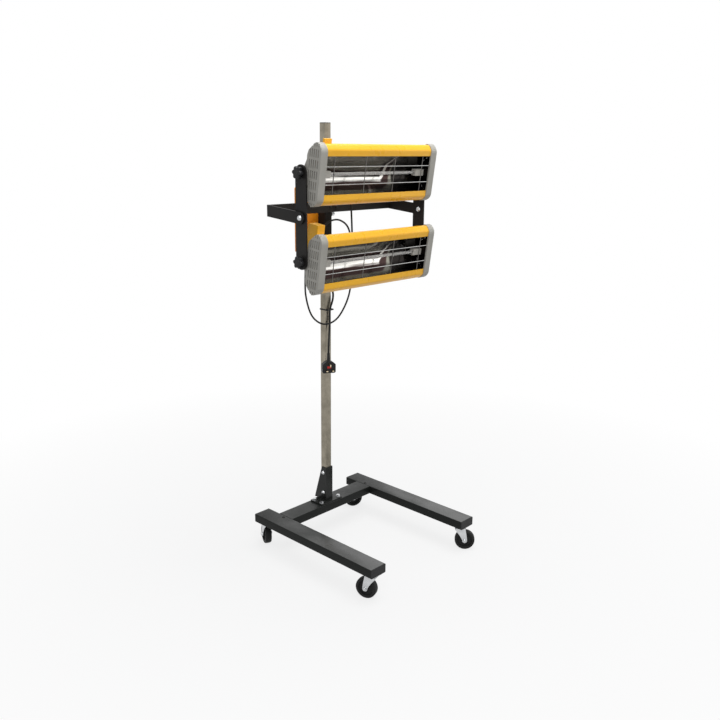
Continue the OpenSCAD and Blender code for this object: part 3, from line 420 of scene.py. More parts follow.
@dataclass(frozen=True)
class Mirror:
    """Polished reflector sheet whose colour holds painted reflections: long stripes of painted reflection with a
    painted highlight across its height, and a painted dark reflection towards its right end.
    """

    name: str
    height: float
    reach: float = 0.066
    lit_to: float = 0.045
    dark_from: float = 0.115
    roughness: float = 0.14
    streak_scale: float = 42.0
    fine_scale: float = 500.0
    wave_scale: float = 30.0
    wave_depth: float = 0.0009
    dark: tuple[float, float, float] = (0.014, 0.012, 0.011)
    brown: tuple[float, float, float] = (0.045, 0.026, 0.024)
    grey: tuple[float, float, float] = (0.20, 0.195, 0.165)
    bright: tuple[float, float, float] = (0.72, 0.70, 0.66)

    def build(self) -> bpy.types.Material:
        """Makes the material."""
        bench = Bench(self.name, self.grey, self.roughness, 1.0)
        # Painted reflections: across the trough's height the colour steps through dark, grey, brown and a pale painted
        # highlight, fixed on the surface.
        rise = bench.within(2, self.height - self.reach, self.height + self.reach, 0.10, 1.0)
        streaks = bench.spread(bench.noise(self.streak_scale, 3.0, (0.06, 1.0, 1.0)), 0.86, 1.14)
        # Painted dark reflection: towards the right end the colour fades to the darkest stop.
        right_end_painted_dark = bench.within(0, self.lit_to, self.dark_from, 1.0, 0.0)
        level = bench.times(bench.times(rise, streaks), right_end_painted_dark)
        painted_reflection_stops = [(0.05, self.dark), (0.09, self.grey), (0.14, self.grey), (0.17, self.brown), (0.33, self.brown),
                 (0.36, self.bright), (0.44, self.bright), (0.47, self.dark), (0.60, self.brown), (0.64, self.grey),
                 (0.74, self.grey), (0.76, self.brown), (0.78, self.grey)]
        bench.feed("Base Color", bench.ramp(level, painted_reflection_stops))
        fine = bench.noise(self.fine_scale, 4.0, (0.02, 1.0, 1.0))
        bench.feed("Roughness", bench.spread(fine, self.roughness * 0.5, self.roughness * 1.6))
        bench.bump(bench.noise(self.wave_scale, 1.0, (0.05, 1.0, 1.0)), self.wave_depth, 0.3)
        return bench.material


@dataclass(frozen=True)
class Quartz:
    """Fused quartz of a heater lamp: clear and faintly milky."""

    name: str
    colour: tuple[float, float, float]
    roughness: float
    clear: float
    ior: float = 1.46
    gloss_scale: float = 120.0
    wave_scale: float = 80.0
    wave_depth: float = 0.0001

    def build(self) -> bpy.types.Material:
        """Makes the material."""
        bench = Bench(self.name, self.colour, self.roughness, 0.0)
        bench.shader.inputs["Transmission Weight"].default_value = self.clear
        bench.shader.inputs["IOR"].default_value = self.ior
        gloss = bench.noise(self.gloss_scale, 4.0, (0.2, 1, 1))
        bench.feed("Roughness", bench.spread(gloss, self.roughness * 0.6, self.roughness * 1.4))
        bench.bump(bench.noise(self.wave_scale, 3.0, (0.2, 1, 1)), self.wave_depth, 0.5)
        return bench.material


BASE_BLACK = BaseEnamel("black_base_enamel", (0.011, 0.012, 0.011), 0.34)
SATIN_BLACK = Paint("satin_black_powder_coat", (0.009, 0.008, 0.008), (0.016, 0.015, 0.014), 0.42, 0.06, 0.0,
                    peel=0.00007, peel_scale=900.0, specular=0.14)
AMBER = Paint("amber_enamel", (0.78, 0.39, 0.010), (0.82, 0.43, 0.014), 0.30, 0.05, 0.08, specular=0.3)
ORANGE = Paint("orange_enamel", (0.74, 0.24, 0.010), (0.78, 0.28, 0.014), 0.32, 0.05, 0.06, specular=0.25)
CAST = Paint("grey_die_cast_lacquer", (0.29, 0.28, 0.25), (0.35, 0.34, 0.31), 0.46, 0.08, 0.0, peel=0.00008)
MAST_STEEL = Metal("brushed_mast_steel", (0.31, 0.28, 0.225), (0.21, 0.19, 0.15), 0.38, 0.08,
                   streak=(1.0, 1.0, 0.012), streak_scale=900.0)
ZINC = Metal("bright_zinc_plate", (0.62, 0.63, 0.64), (0.46, 0.47, 0.48), 0.27, 0.08, streak_scale=220.0)
WIRE = Metal("bright_wire", (0.46, 0.46, 0.45), (0.36, 0.36, 0.35), 0.2, 0.05, streak_scale=400.0)
DULL_WIRE = Metal("dull_cross_wire", (0.15, 0.14, 0.13), (0.1, 0.095, 0.09), 0.34, 0.06, streak_scale=400.0)
BRASS = Metal("plated_brass_pins", (0.70, 0.60, 0.42), (0.58, 0.48, 0.32), 0.24, 0.06)
# Each cassette's reflector colour holds painted reflections placed about its own height.
REFLECTORS = {level: Mirror(f"{level.label}_polished_reflector", (HEAD_Z + level.value) * MM) for level in Level}
BLACK_PLASTIC = Moulded("black_moulded_plastic", (0.010, 0.010, 0.011), (0.017, 0.017, 0.018), 0.42, specular=0.2)
CAP_PLASTIC = Moulded("grey_moulded_cap", (0.12, 0.115, 0.105), (0.15, 0.145, 0.135), 0.5, specular=0.2)
TYRE = Moulded("black_wheel_rubber", (0.011, 0.011, 0.011), (0.022, 0.022, 0.021), 0.56, scuffs=0.5, specular=0.16)
LEAD_SHEATH = Moulded("black_lead_sheath", (0.010, 0.010, 0.010), (0.016, 0.016, 0.016), 0.38, grain_scale=2500.0,
                      specular=0.2)
RED_PLASTIC = Moulded("red_fuse_cover", (0.50, 0.02, 0.02), (0.56, 0.03, 0.03), 0.32, specular=0.25)
CERAMIC = Moulded("white_ceramic", (0.42, 0.40, 0.36), (0.5, 0.48, 0.43), 0.5, specular=0.3)
WHITE_MARKS = Moulded("white_dial_marks", (0.72, 0.72, 0.70), (0.78, 0.78, 0.76), 0.45)
QUARTZ = Quartz("quartz_tube", (0.95, 0.93, 0.9), 0.18, 0.75)
FILAMENT = Metal("lamp_filament", (0.62, 0.60, 0.57), (0.50, 0.48, 0.46), 0.4, 0.05)


class Store:
    """Makes each finish's material once."""

    made: dict[str, bpy.types.Material] = {}

    @classmethod
    def get(cls, finish: Finish) -> bpy.types.Material:
        """Returns the finish's material, made on first use."""
        if finish.name not in cls.made:
            cls.made[finish.name] = finish.build()
        return cls.made[finish.name]


# Surfaces


def quads(rows: int, cols: int, wrap_rows: bool = False, wrap_cols: bool = False) -> Array:
    """Quads of a grid of points numbered row by row.

    Args:
        rows: rows of points.
        cols: points in a row.
        wrap_rows: whether the last row joins the first.
        wrap_cols: whether the last column joins the first.

    Returns:
        Point numbers, four to a face.
    """
    i, j = np.meshgrid(np.arange(rows if wrap_rows else rows - 1), np.arange(cols if wrap_cols else cols - 1),
                       indexing="ij")
    k, m = (i + 1) % rows, (j + 1) % cols
    return np.stack([i * cols + j, i * cols + m, k * cols + m, k * cols + j], -1).reshape(-1, 4)


@dataclass
class Shape:
    """Points in millimetres and the faces between them."""

    points: Array
    faces: list[tuple[int, ...]]

    def __add__(self, other: "Shape") -> "Shape":
        """Puts two shapes in one."""
        step = len(self.points)
        return Shape(np.vstack([self.points, other.points]),
                     self.faces + [tuple(i + step for i in f) for f in other.faces])

    def moved(self, x: float = 0.0, y: float = 0.0, z: float = 0.0) -> "Shape":
        """Returns the shape moved by x, y and z."""
        return Shape(self.points + np.array([x, y, z]), self.faces)

    def turned(self, axis: str, degrees: float) -> "Shape":
        """Returns the shape turned about an axis through the origin by the right-hand rule."""
        turn = np.array(Matrix.Rotation(math.radians(degrees), 3, axis))
        return Shape(self.points @ turn.T, self.faces)

    def flipped(self) -> "Shape":
        """Returns the shape mirrored in x = 0."""
        return Shape(self.points * np.array([-1.0, 1.0, 1.0]), self.faces)

    def piece(self, name: str, finish: Finish, body: Body | str | None, replaces: Sequence[str] = (),
              smooth: bool = True) -> bpy.types.Object:
        """Makes the shape an object that rides on a body.

        Args:
            name: the object's name.
            finish: its finish.
            body: the body that it rides on, or None for a piece that bends between two.
            replaces: CAD nodes that it stands for.
            smooth: whether its faces are smooth.

        Returns:
            The object.
        """
        mesh = bpy.data.meshes.new(name)
        mesh.from_pydata((self.points * MM).tolist(), [], self.faces)
        work = bmesh.new()
        work.from_mesh(mesh)
        bmesh.ops.remove_doubles(work, verts=work.verts, dist=MERGE)
        bmesh.ops.recalc_face_normals(work, faces=work.faces)
        for face in work.faces:
            face.smooth = smooth
        for edge in work.edges:
            edge.smooth = edge.calc_face_angle(0.0) < math.radians(HARD_EDGE)
        work.to_mesh(mesh)
        work.free()
        mesh.materials.append(Store.get(finish))
        return place(bpy.data.objects.new(name, mesh), body, replaces)


def joined(shapes: Sequence[Shape]) -> Shape:
    """Puts all the shapes in one."""
    whole = shapes[0]
    for shape in shapes[1:]:
        whole = whole + shape
    return whole


def place(piece: bpy.types.Object, body: Body | str | None, replaces: Sequence[str] = ()) -> bpy.types.Object:
    """Links a piece to the scene, on its body.

    Args:
        piece: the object.
        body: the body that it rides on, or None for a piece that bends between two.
        replaces: CAD nodes that it stands for.

    Returns:
        The object.
    """
    bpy.context.scene.collection.objects.link(piece)
    if body is not None:
        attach(piece, body.value if isinstance(body, Body) else body)
    if replaces:
        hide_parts(*replaces)
    LOG.info("%s rides on %s", piece.name, body)
    return piece


def revolve(profile: Sequence[tuple[float, float]], steps: int = 48, closed: bool = False) -> Shape:
    """Turns a profile about Z: a point (r, h) at angle a goes to (r cos a, r sin a, h).

    Args:
        profile: pairs of radius and height; an open profile starts and ends on the axis.
        steps: points round the axis.
        closed: whether the profile is a loop clear of the axis.

    Returns:
        The closed surface.
    """
    line = np.array(profile, float)
    angle = np.linspace(0, 2 * math.pi, steps, endpoint=False)
    points = np.stack([line[:, :1] * np.cos(angle), line[:, :1] * np.sin(angle),
                       np.repeat(line[:, 1:], steps, axis=1)], -1)
    return Shape(points.reshape(-1, 3), [tuple(q) for q in quads(len(line), steps, closed, True).tolist()])


def curve_through(points: Sequence[Sequence[float]], steps: int) -> Array:
    """Cubic curve through the points, with each tangent along the line between its neighbours.

    Args:
        points: the points, in order.
        steps: samples to each stretch.

    Returns:
        Samples along the curve.
    """
    p = np.array(points, float)
    a, b, c, d = np.vstack([p[:1], p[:-2]]), p[:-1], p[1:], np.vstack([p[2:], p[-1:]])
    t = (np.arange(steps) / steps)[None, :, None]
    a, b, c, d = (v[:, None, :] for v in (a, b, c, d))
    curl, twist = 2 * a - 5 * b + 4 * c - d, 3 * b - a - 3 * c + d
    line = (2 * b + (c - a) * t + curl * t**2 + twist * t**3) / 2
    return np.vstack([line.reshape(-1, 3), p[-1:]])


def sweep(path: Array, radius: float | Array, sides: int = 12) -> Shape:
    """Carries a circle along a path: point (s, a) is path(s) + r(s) (cos a U(s) + sin a V(s)).

    U and V are the path's side and up directions, carried along it without twisting.

    Args:
        path: the centre line.
        radius: the radius, or one for each point of the path.
        sides: points round the tube.

    Returns:
        The tube, with flat ends.
    """
    tangent = np.gradient(path, axis=0)
    tangent /= np.linalg.norm(tangent, axis=1)[:, None]
    askew = [0.31, 0.17, 0.93]
    side = np.cross(tangent[0], askew)
    carried = []
    for t in tangent:
        side = side - t * (side @ t)
        side = side / np.linalg.norm(side)
        carried.append(side)
    u = np.array(carried)[:, None]
    v = np.cross(tangent, u[:, 0])[:, None]
    angle = np.linspace(0, 2 * math.pi, sides, endpoint=False)
    r = np.broadcast_to(np.asarray(radius, float), (len(path),))[:, None, None]
    rings = path[:, None] + r * (np.cos(angle)[None, :, None] * u + np.sin(angle)[None, :, None] * v)
    faces = [tuple(q) for q in quads(len(path), sides, False, True).tolist()]
    last = (len(path) - 1) * sides
    faces += [tuple(range(sides))[::-1], tuple(range(last, last + sides))]
    return Shape(rings.reshape(-1, 3), faces)


def slab(outline: Array, thickness: float) -> Shape:
    """Gives a flat outline in (y, z) a thickness along X, centred on x = 0.

    Args:
        outline: points of the closed outline.
        thickness: the thickness.

    Returns:
        The closed slab.
    """
    n = len(outline)
    flat = np.array(outline, float)
    sides = [np.column_stack([np.full(n, x), flat]) for x in (-thickness / 2, thickness / 2)]
    faces = [tuple(q) for q in quads(2, n, False, True).tolist()]
    faces += [tuple(range(n))[::-1], tuple(range(n, 2 * n))]
    return Shape(np.vstack(sides), faces)


def box(low: Sequence[float], high: Sequence[float]) -> Shape:
    """Box between two corners."""
    x, y, z = zip(low, high)
    points = np.array([(a, b, c) for a in x for b in y for c in z], float)
    return Shape(points, [(0, 1, 3, 2), (4, 6, 7, 5), (0, 4, 5, 1), (2, 3, 7, 6), (0, 2, 6, 4), (1, 5, 7, 3)])


def arc(before: Array, at: Array, after: Array, radius: float, steps: int) -> Array:
    """Arc that rounds the corner at one point of a line.

    Args:
        before: the point before the corner.
        at: the corner.
        after: the point after it.
        radius: the arc's radius.
        steps: steps along the arc.

    Returns:
        Points of the arc.
    """
    u, v = (before - at) / np.linalg.norm(before - at), (after - at) / np.linalg.norm(after - at)
    half = math.acos(float(np.clip(u @ v, -1, 1))) / 2
    middle = at + (u + v) / np.linalg.norm(u + v) * radius / math.sin(half)
    start = at + u * radius / math.tan(half) - middle
    end = at + v * radius / math.tan(half) - middle
    a, b = math.atan2(start[1], start[0]), math.atan2(end[1], end[0])
    turn = (b - a + math.pi) % (2 * math.pi) - math.pi
    angle = a + turn * np.linspace(0, 1, steps + 1)
    return middle + radius * np.column_stack([np.cos(angle), np.sin(angle)])


def rounded_line(points: Sequence[Sequence[float]], radius: float, steps: int) -> Array:
    """Open line in (y, z) with its inner corners rounded.

    Args:
        points: the line's corners.
        radius: radius of each inner corner.
        steps: steps along each arc.

    Returns:
        The rounded line.
    """
    p = np.array(points, float)
    arcs = [arc(p[i - 1], p[i], p[i + 1], radius, steps) for i in range(1, len(p) - 1)]
    return np.vstack([p[:1], *arcs, p[-1:]])


def beside(line: Array, offset: float) -> Array:
    """Moves an open line sideways, to the left of its direction, by mitres at its corners."""
    step = np.diff(line, axis=0)
    step /= np.linalg.norm(step, axis=1)[:, None]
    before, after = np.vstack([step[:1], step]), np.vstack([step, step[-1:]])
    mitre = np.column_stack([-(before + after)[:, 1], (before + after)[:, 0]])
    mitre /= np.linalg.norm(mitre, axis=1)[:, None]
    reach = offset / np.sum(mitre * np.column_stack([-after[:, 1], after[:, 0]]), axis=1)
    return line + mitre * reach[:, None]


def modify(piece: bpy.types.Object, kind: str, **settings: object) -> bpy.types.Object:
    """Adds a modifier with these settings to a piece, and returns the piece."""
    modifier = piece.modifiers.new(kind.lower(), kind)
    for key, value in settings.items():
        setattr(modifier, key, value)
    return piece


def bevel(piece: bpy.types.Object, width: float, segments: int = 2,
          angle: float = HARD_EDGE) -> bpy.types.Object:
    """Rounds a piece's edges that are sharper than an angle, in degrees, by a width in millimetres."""
    return modify(piece, "BEVEL", width=width * MM, segments=segments, limit_method="ANGLE",
                  angle_limit=math.radians(angle), harden_normals=True, miter_outer="MITER_ARC")


class Frame:
    """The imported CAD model, with ways to dress its nodes."""

    MERGE = 2e-6
    FLAT = math.radians(0.6)

    def __init__(self) -> None:
        """Loads the frame and keeps the CAD model's box."""
        self.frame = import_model()
        self.cad_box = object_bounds()

    def dress(self, finish: Finish, *nodes: str) -> None:
        """Gives CAD nodes a finish and leaves their shapes alone."""
        for node in nodes:
            mesh = self.frame["nodes"][node].data
            mesh.materials.clear()
            mesh.materials.append(Store.get(finish))
            LOG.info("%s keeps its CAD shape", node)

    def soften(self, node: str, finish: Finish, width: float, segments: int = 2) -> bpy.types.Object:
        """Replaces a CAD node by a merged copy of its mesh with rounded edges.

        Args:
            node: the CAD node.
            finish: the copy's finish.
            width: how far the rounding reaches, in millimetres.
            segments: steps of the rounding.

        Returns:
            The new piece.
        """
        source = self.frame["nodes"][node]
        mesh = source.data.copy()
        mesh.name = f"{node}_soft"
        work = bmesh.new()
        work.from_mesh(mesh)
        bmesh.ops.remove_doubles(work, verts=work.verts, dist=self.MERGE)
        bmesh.ops.dissolve_limit(work, angle_limit=self.FLAT, verts=work.verts, edges=work.edges)
        for face in work.faces:
            face.smooth = True
        for edge in work.edges:
            edge.smooth = True
        work.to_mesh(mesh)
        work.free()
        for name in [a.name for a in mesh.attributes if a.name == "custom_normal"]:
            mesh.attributes.remove(mesh.attributes[name])
        mesh.materials.clear()
        mesh.materials.append(Store.get(finish))
        piece = bpy.data.objects.new(f"{node}_soft", mesh)
        place(piece, self.body_of(node), (node,))
        return bevel(piece, width, segments)

    def body_of(self, node: str) -> str:
        """Name of the body that a node belongs to."""
        bodies = self.frame["record"]["behaviour"]["bodies"]
        return next(name for name, nodes in bodies.items() if node in nodes)


# The lamp's sub-assemblies


@dataclass
class Castor:
    """Swivel castor: a pressed fork and a rubber wheel on a riveted axle."""

    label: str
    side: int
    end: int
    swivel: float
    track: float = 245.5
    base: float = 270.0
    trail: float = 18.0
    wheel_r: float = 37.5
    tread: float = 24.0
    crown_z: float = 86.2
    crown_half: float = 20.0
    fold_r: float = 5.0
    eye_r: float = 9.0
    arm_y: float = 15.25
    sheet: float = 2.5
    swell: float = 1.2
    ease_power: float = 1.35
    axle_r: float = 4.0
    axle_half: float = 14.0
    eye_steps: int = 7
    arm_steps: int = 14

    def to_place(self, shape: Shape) -> Shape:
        """Turns a shape that trails along +X and moves it under its leg."""
        return shape.turned("Z", self.swivel).moved(self.side * self.track, self.end * self.base)

    def fork(self) -> Shape:
        """Pressed strip bent over the wheel: a point (s, t) lies at (c(s) + w(s) t / 2, y(s), z(s)).

        Its eyes are round, its arms widen towards the crown and swell outwards between the two.

        Returns:
            The strip's middle surface.
        """
        low, high, r = self.wheel_r, self.crown_z - self.fold_r, self.fold_r
        down = np.linspace(math.pi / 2, 0, self.eye_steps)
        bend = np.linspace(0, math.pi / 2, self.eye_steps)[1:]
        z = np.concatenate([low - self.eye_r * np.sin(down), np.linspace(low, high, self.arm_steps)[1:],
                            high + r * np.sin(bend)])
        straight = np.full(self.eye_steps + self.arm_steps - 1, self.arm_y)
        y = np.concatenate([straight, self.arm_y - r + r * np.cos(bend)])
        ease = np.clip((z - low) / (high - low), 0, 1) ** self.ease_power
        centre = self.trail * (1 - ease)
        width = 2 * self.eye_r * (1 - ease) + 2 * self.crown_half * ease
        width[:self.eye_steps] = 2 * self.eye_r * np.cos(down)
        z, y = np.concatenate([z, z[::-1]]), np.concatenate([y, -y[::-1]])
        centre, width = np.concatenate([centre, centre[::-1]]), np.concatenate([width, width[::-1]])
        t = np.linspace(-1, 1, 9)
        x = centre[:, None] + width[:, None] * t / 2
        swell_from = swell_over = 40
        bulge = self.swell * np.sin(np.pi * np.clip((z - swell_from) / swell_over, 0, 1))[:, None] * (1 - t**2)
        out = np.sign(y)[:, None] * (bulge - self.swell / 2) * 0.6
        points = np.stack([x, y[:, None] + out, np.repeat(z[:, None], len(t), 1)], -1)
        return Shape(points.reshape(-1, 3), [tuple(q) for q in quads(len(z), len(t)).tolist()])

    def wheel(self) -> Shape:
        """Wheel turned about its axle: crowned tread, rounded shoulders, dished web and a hub."""
        r, half = self.wheel_r, self.tread / 2
        right = [(4.2, 13.6), (8.6, 13.6), (10.4, 12.6), (11.0, 10.5), (11.4, 6.6), (13.0, 5.4), (22.0, 5.0),
                 (24.6, 5.6), (26.0, 7.8), (26.6, 10.4), (27.6, 11.6), (29.2, half), (33.0, half),
                 (35.4, half - 0.7), (36.7, half - 2.2), (r - 0.25, half - 4.2), (r - 0.05, half - 8.0), (r, 0.0)]
        left = [(a, -b) for a, b in right[::-1][1:]]
        return revolve(right + left, 72, True).turned("X", 90).moved(x=self.trail, z=self.wheel_r)

    def axle(self) -> Shape:
        """Axle, with a hexagon head and a washer on both ends."""
        head = revolve([(0, 5.0), (5.4, 5.0), (6.6, 4.2), (6.9, 3.6), (6.9, 0.9), (0, 0.9)], 6)
        washer = revolve([(0, 1.0), (7.8, 1.0), (8.2, 0.6), (8.2, 0.0), (0, 0.0)], 32)
        end = (head + washer).turned("X", -90).moved(y=self.arm_y + self.sheet / 2)
        span = 2 * self.axle_half
        rod = revolve([(0, span), (self.axle_r, span), (self.axle_r, 0), (0, 0)], 24)
        rod = rod.turned("X", -90).moved(y=-self.axle_half)
        return (end + end.turned("Z", 180) + rod).moved(x=self.trail, z=self.wheel_r)

    def build(self) -> None:
        """Makes the castor's pieces."""
        body = f"castor_{self.label}"
        fork = self.to_place(self.fork()).piece(f"fork_{self.label}", ZINC, body, (f"castor_fork_{self.label}",))
        modify(fork, "SOLIDIFY", thickness=self.sheet * MM, offset=0.0, use_even_offset=True)
        bevel(fork, 0.5, 2, 50)
        self.to_place(self.axle()).piece(f"axle_{self.label}", ZINC, body)
        wheel = f"wheel_{self.label}"
        self.to_place(self.wheel()).piece(f"tyre_{self.label}", TYRE, wheel, (wheel,))


@dataclass
class Stand:
    """Wheeled base, mast foot and mast."""

    castors: list[Castor] = field(default_factory=lambda: [
        Castor("fl", -1, -1, 108.0), Castor("fr", 1, -1, 308.0), Castor("bl", -1, 1, 65.0), Castor("br", 1, 1, 150.0)])

    def build(self, frame: Frame) -> None:
        """Dresses the stand."""
        for node in ("leg_left", "leg_right", "cross_beam"):
            frame.soften(node, BASE_BLACK, 0.5)
        frame.soften("leg_end_caps", BLACK_PLASTIC, 0.8, 3)
        frame.soften("mast_foot", BASE_BLACK, 0.8, 3)
        frame.soften("foot_bolts", ZINC, 0.6)
        frame.soften("castor_plates", ZINC, 0.6)
        frame.dress(SATIN_BLACK, "beam_screws")
        frame.soften("mast", MAST_STEEL, 0.4)
        frame.soften("mast_cap", CAP_PLASTIC, 0.7, 3)
        for castor in self.castors:
            castor.build()


@dataclass
class Carriage:
    """Sleeve, bracket, control box and what is on them."""

    box_x: float = -15.0
    cover_y: float = MAST_Y + 81.0
    timer_z: float = 1275.0
    timer_r: float = 19.0
    timer_gap: float = 0.3
    grip_r: float = 4.2
    grip_half: float = 10.4
    grip_h: float = 8.4
    grip_z: float = 12.9
    line_w: float = 1.2
    line_y: tuple[float, float] = (17.3, 17.6)
    line_z: tuple[float, float] = (3.0, 13.5)
    ticks: int = 13
    tick_turn: float = 25.0
    tick_w: float = 1.0
    tick_h: float = 0.35
    tick_from: float = 21.5
    tick_to: tuple[float, float] = (24.0, 26.0)
    gland_x: tuple[float, ...] = (-55.0, -15.0, 22.0)
    gland_y: float = MAST_Y + 49.5
    gland_z: float = 1080.0
    clamp_x: float = 33.8
    clamp_z: float = 1235.0
    screw_x: float = 14.4
    lever: float = 60.0
    lever_r: float = 3.0
    lever_turn: float = 45.0

    def build(self, frame: Frame) -> None:
        """Dresses the carriage."""
        frame.soften("sleeve", SATIN_BLACK, 0.6)
        frame.soften("bracket", SATIN_BLACK, 0.7, 3)
        frame.dress(SATIN_BLACK, "bracket_bolts")
        frame.dress(ZINC, "box_bolts", "cover_screws", "frame_bolts")
        frame.soften("control_box", ORANGE, 0.6)
        frame.soften("box_cover", ORANGE, 1.0, 3)
        frame.soften("rocker_upper", BLACK_PLASTIC, 0.5, 3)
        frame.soften("rocker_lower", BLACK_PLASTIC, 0.5, 3)
        frame.soften("cable_tie", BLACK_PLASTIC, 0.4)
        self.glands().piece("gland_nuts", BLACK_PLASTIC, Body.CARRIAGE, ("box_glands",))
        self.clamp().piece("clamp_bar", ZINC, Body.CLAMP, ("clamp_lever",))
        self.timer().piece("timer_cap", BLACK_PLASTIC, Body.TIMER, ("timer_knob",))
        self.pointer().piece("timer_pointer", WHITE_MARKS, Body.TIMER)
        self.dial().piece("timer_dial", WHITE_MARKS, Body.CARRIAGE, smooth=False)

    def glands(self) -> Shape:
        """Cable glands: a fluted dome nut, r (1 - 0.035 (1 + cos 14 a)), below a hexagon with cut corners."""
        thread_r, nut_r, corner_r, dome_r = 6.0, 9.0, 10.2, 8.2
        dome_top, nut_top, top = 12.3, 18.0, 23.0
        flutes, flute_depth, across = 14, 0.035, 1.12
        one = revolve([(0, top), (thread_r, top), (thread_r, nut_top), (nut_r, 17.4), (nut_r, 12.6), (dome_r, 12.0),
                       (dome_r, 7.0), (7.4, 3.0), (5.4, 0.6), (4.0, 0.0), (0, 0.0)], 96)
        x, y, z = one.points.T
        angle, radius = np.arctan2(y, x), np.hypot(x, y)
        nut = (z > dome_top) & (z < nut_top) & (radius > thread_r + 1)
        dome = (z < dome_top) & (radius > 6.5)
        sixth = math.pi / 6
        hexagon = nut_r * math.cos(sixth) / np.cos((angle + math.pi) % (2 * sixth) - sixth) * across
        fluted = radius * (1 - flute_depth * (1 + np.cos(flutes * angle)))
        radius = np.where(nut, np.minimum(hexagon, corner_r), np.where(dome, fluted, radius))
        one = Shape(np.column_stack([radius * np.cos(angle), radius * np.sin(angle), z]), one.faces)
        return joined([one.moved(x, self.gland_y, self.gland_z) for x in self.gland_x])

    def clamp(self) -> Shape:
        """Clamp screw with a head, and a tommy bar with round ends through it."""
        screw = revolve([(0, 0), (5, 0), (5, 11.2), (6.2, 11.6), (7, 12.4), (7, 26), (6.2, 27.4), (0, 27.4)], 32)
        s, r = np.linspace(0, 1, 7), self.lever_r
        radius = r * np.concatenate([np.sqrt(1 - (1 - s) ** 2), np.sqrt(1 - s**2)])
        along = np.concatenate([r * s, self.lever - r + r * s]) - self.lever / 3
        bar = revolve(list(zip(radius.tolist(), along.tolist())), 20)
        bar = bar.turned("X", self.lever_turn).moved(x=self.clamp_x)
        return (screw.turned("Y", 90).moved(x=self.screw_x) + bar).moved(y=MAST_Y, z=self.clamp_z)

    def timer(self) -> Shape:
        """Timer knob: a skirt, and a grip bar across it whose ends are round."""
        r = self.timer_r
        skirt = revolve([(0, 0), (r - 0.6, 0), (r, 0.6), (r, 2.0), (r - 1.5, 3.6), (r - 4, 4.2), (r * 0.78, 4.4),
                         (r * 0.76, 8.0), (r * 0.72, 8.6), (0, 8.8)], 64)
        a = np.linspace(0, 2 * math.pi, 40, endpoint=False)
        ends = self.grip_half * np.copysign(1, np.cos(a))
        outline = np.column_stack([self.grip_r * np.sin(a), ends + self.grip_r * np.cos(a)])
        grip = slab(outline, self.grip_h).turned("Y", -90).moved(z=self.grip_z)
        return (skirt + grip).turned("X", -90).moved(self.box_x, self.cover_y + self.timer_gap, self.timer_z)

    def pointer(self) -> Shape:
        """White line on the grip that shows the set time."""
        (near, far), (low, high), half = self.line_y, self.line_z, self.line_w / 2
        return box((-half, near, low), (half, far, high)).moved(self.box_x, self.cover_y, self.timer_z)

    def dial(self) -> Shape:
        """Ring of raised tick marks round the timer over 300 degrees; every third is longer."""
        marks, half = [], self.tick_w / 2
        for i in range(self.ticks):
            reach = self.tick_to[i % 3 == 0]
            mark = box((-half, 0, self.tick_from), (half, self.tick_h, reach))
            marks.append(mark.turned("Y", self.tick_turn * ((self.ticks - 1) / 2 - i)))
        return joined(marks).moved(self.box_x, self.cover_y, self.timer_z)


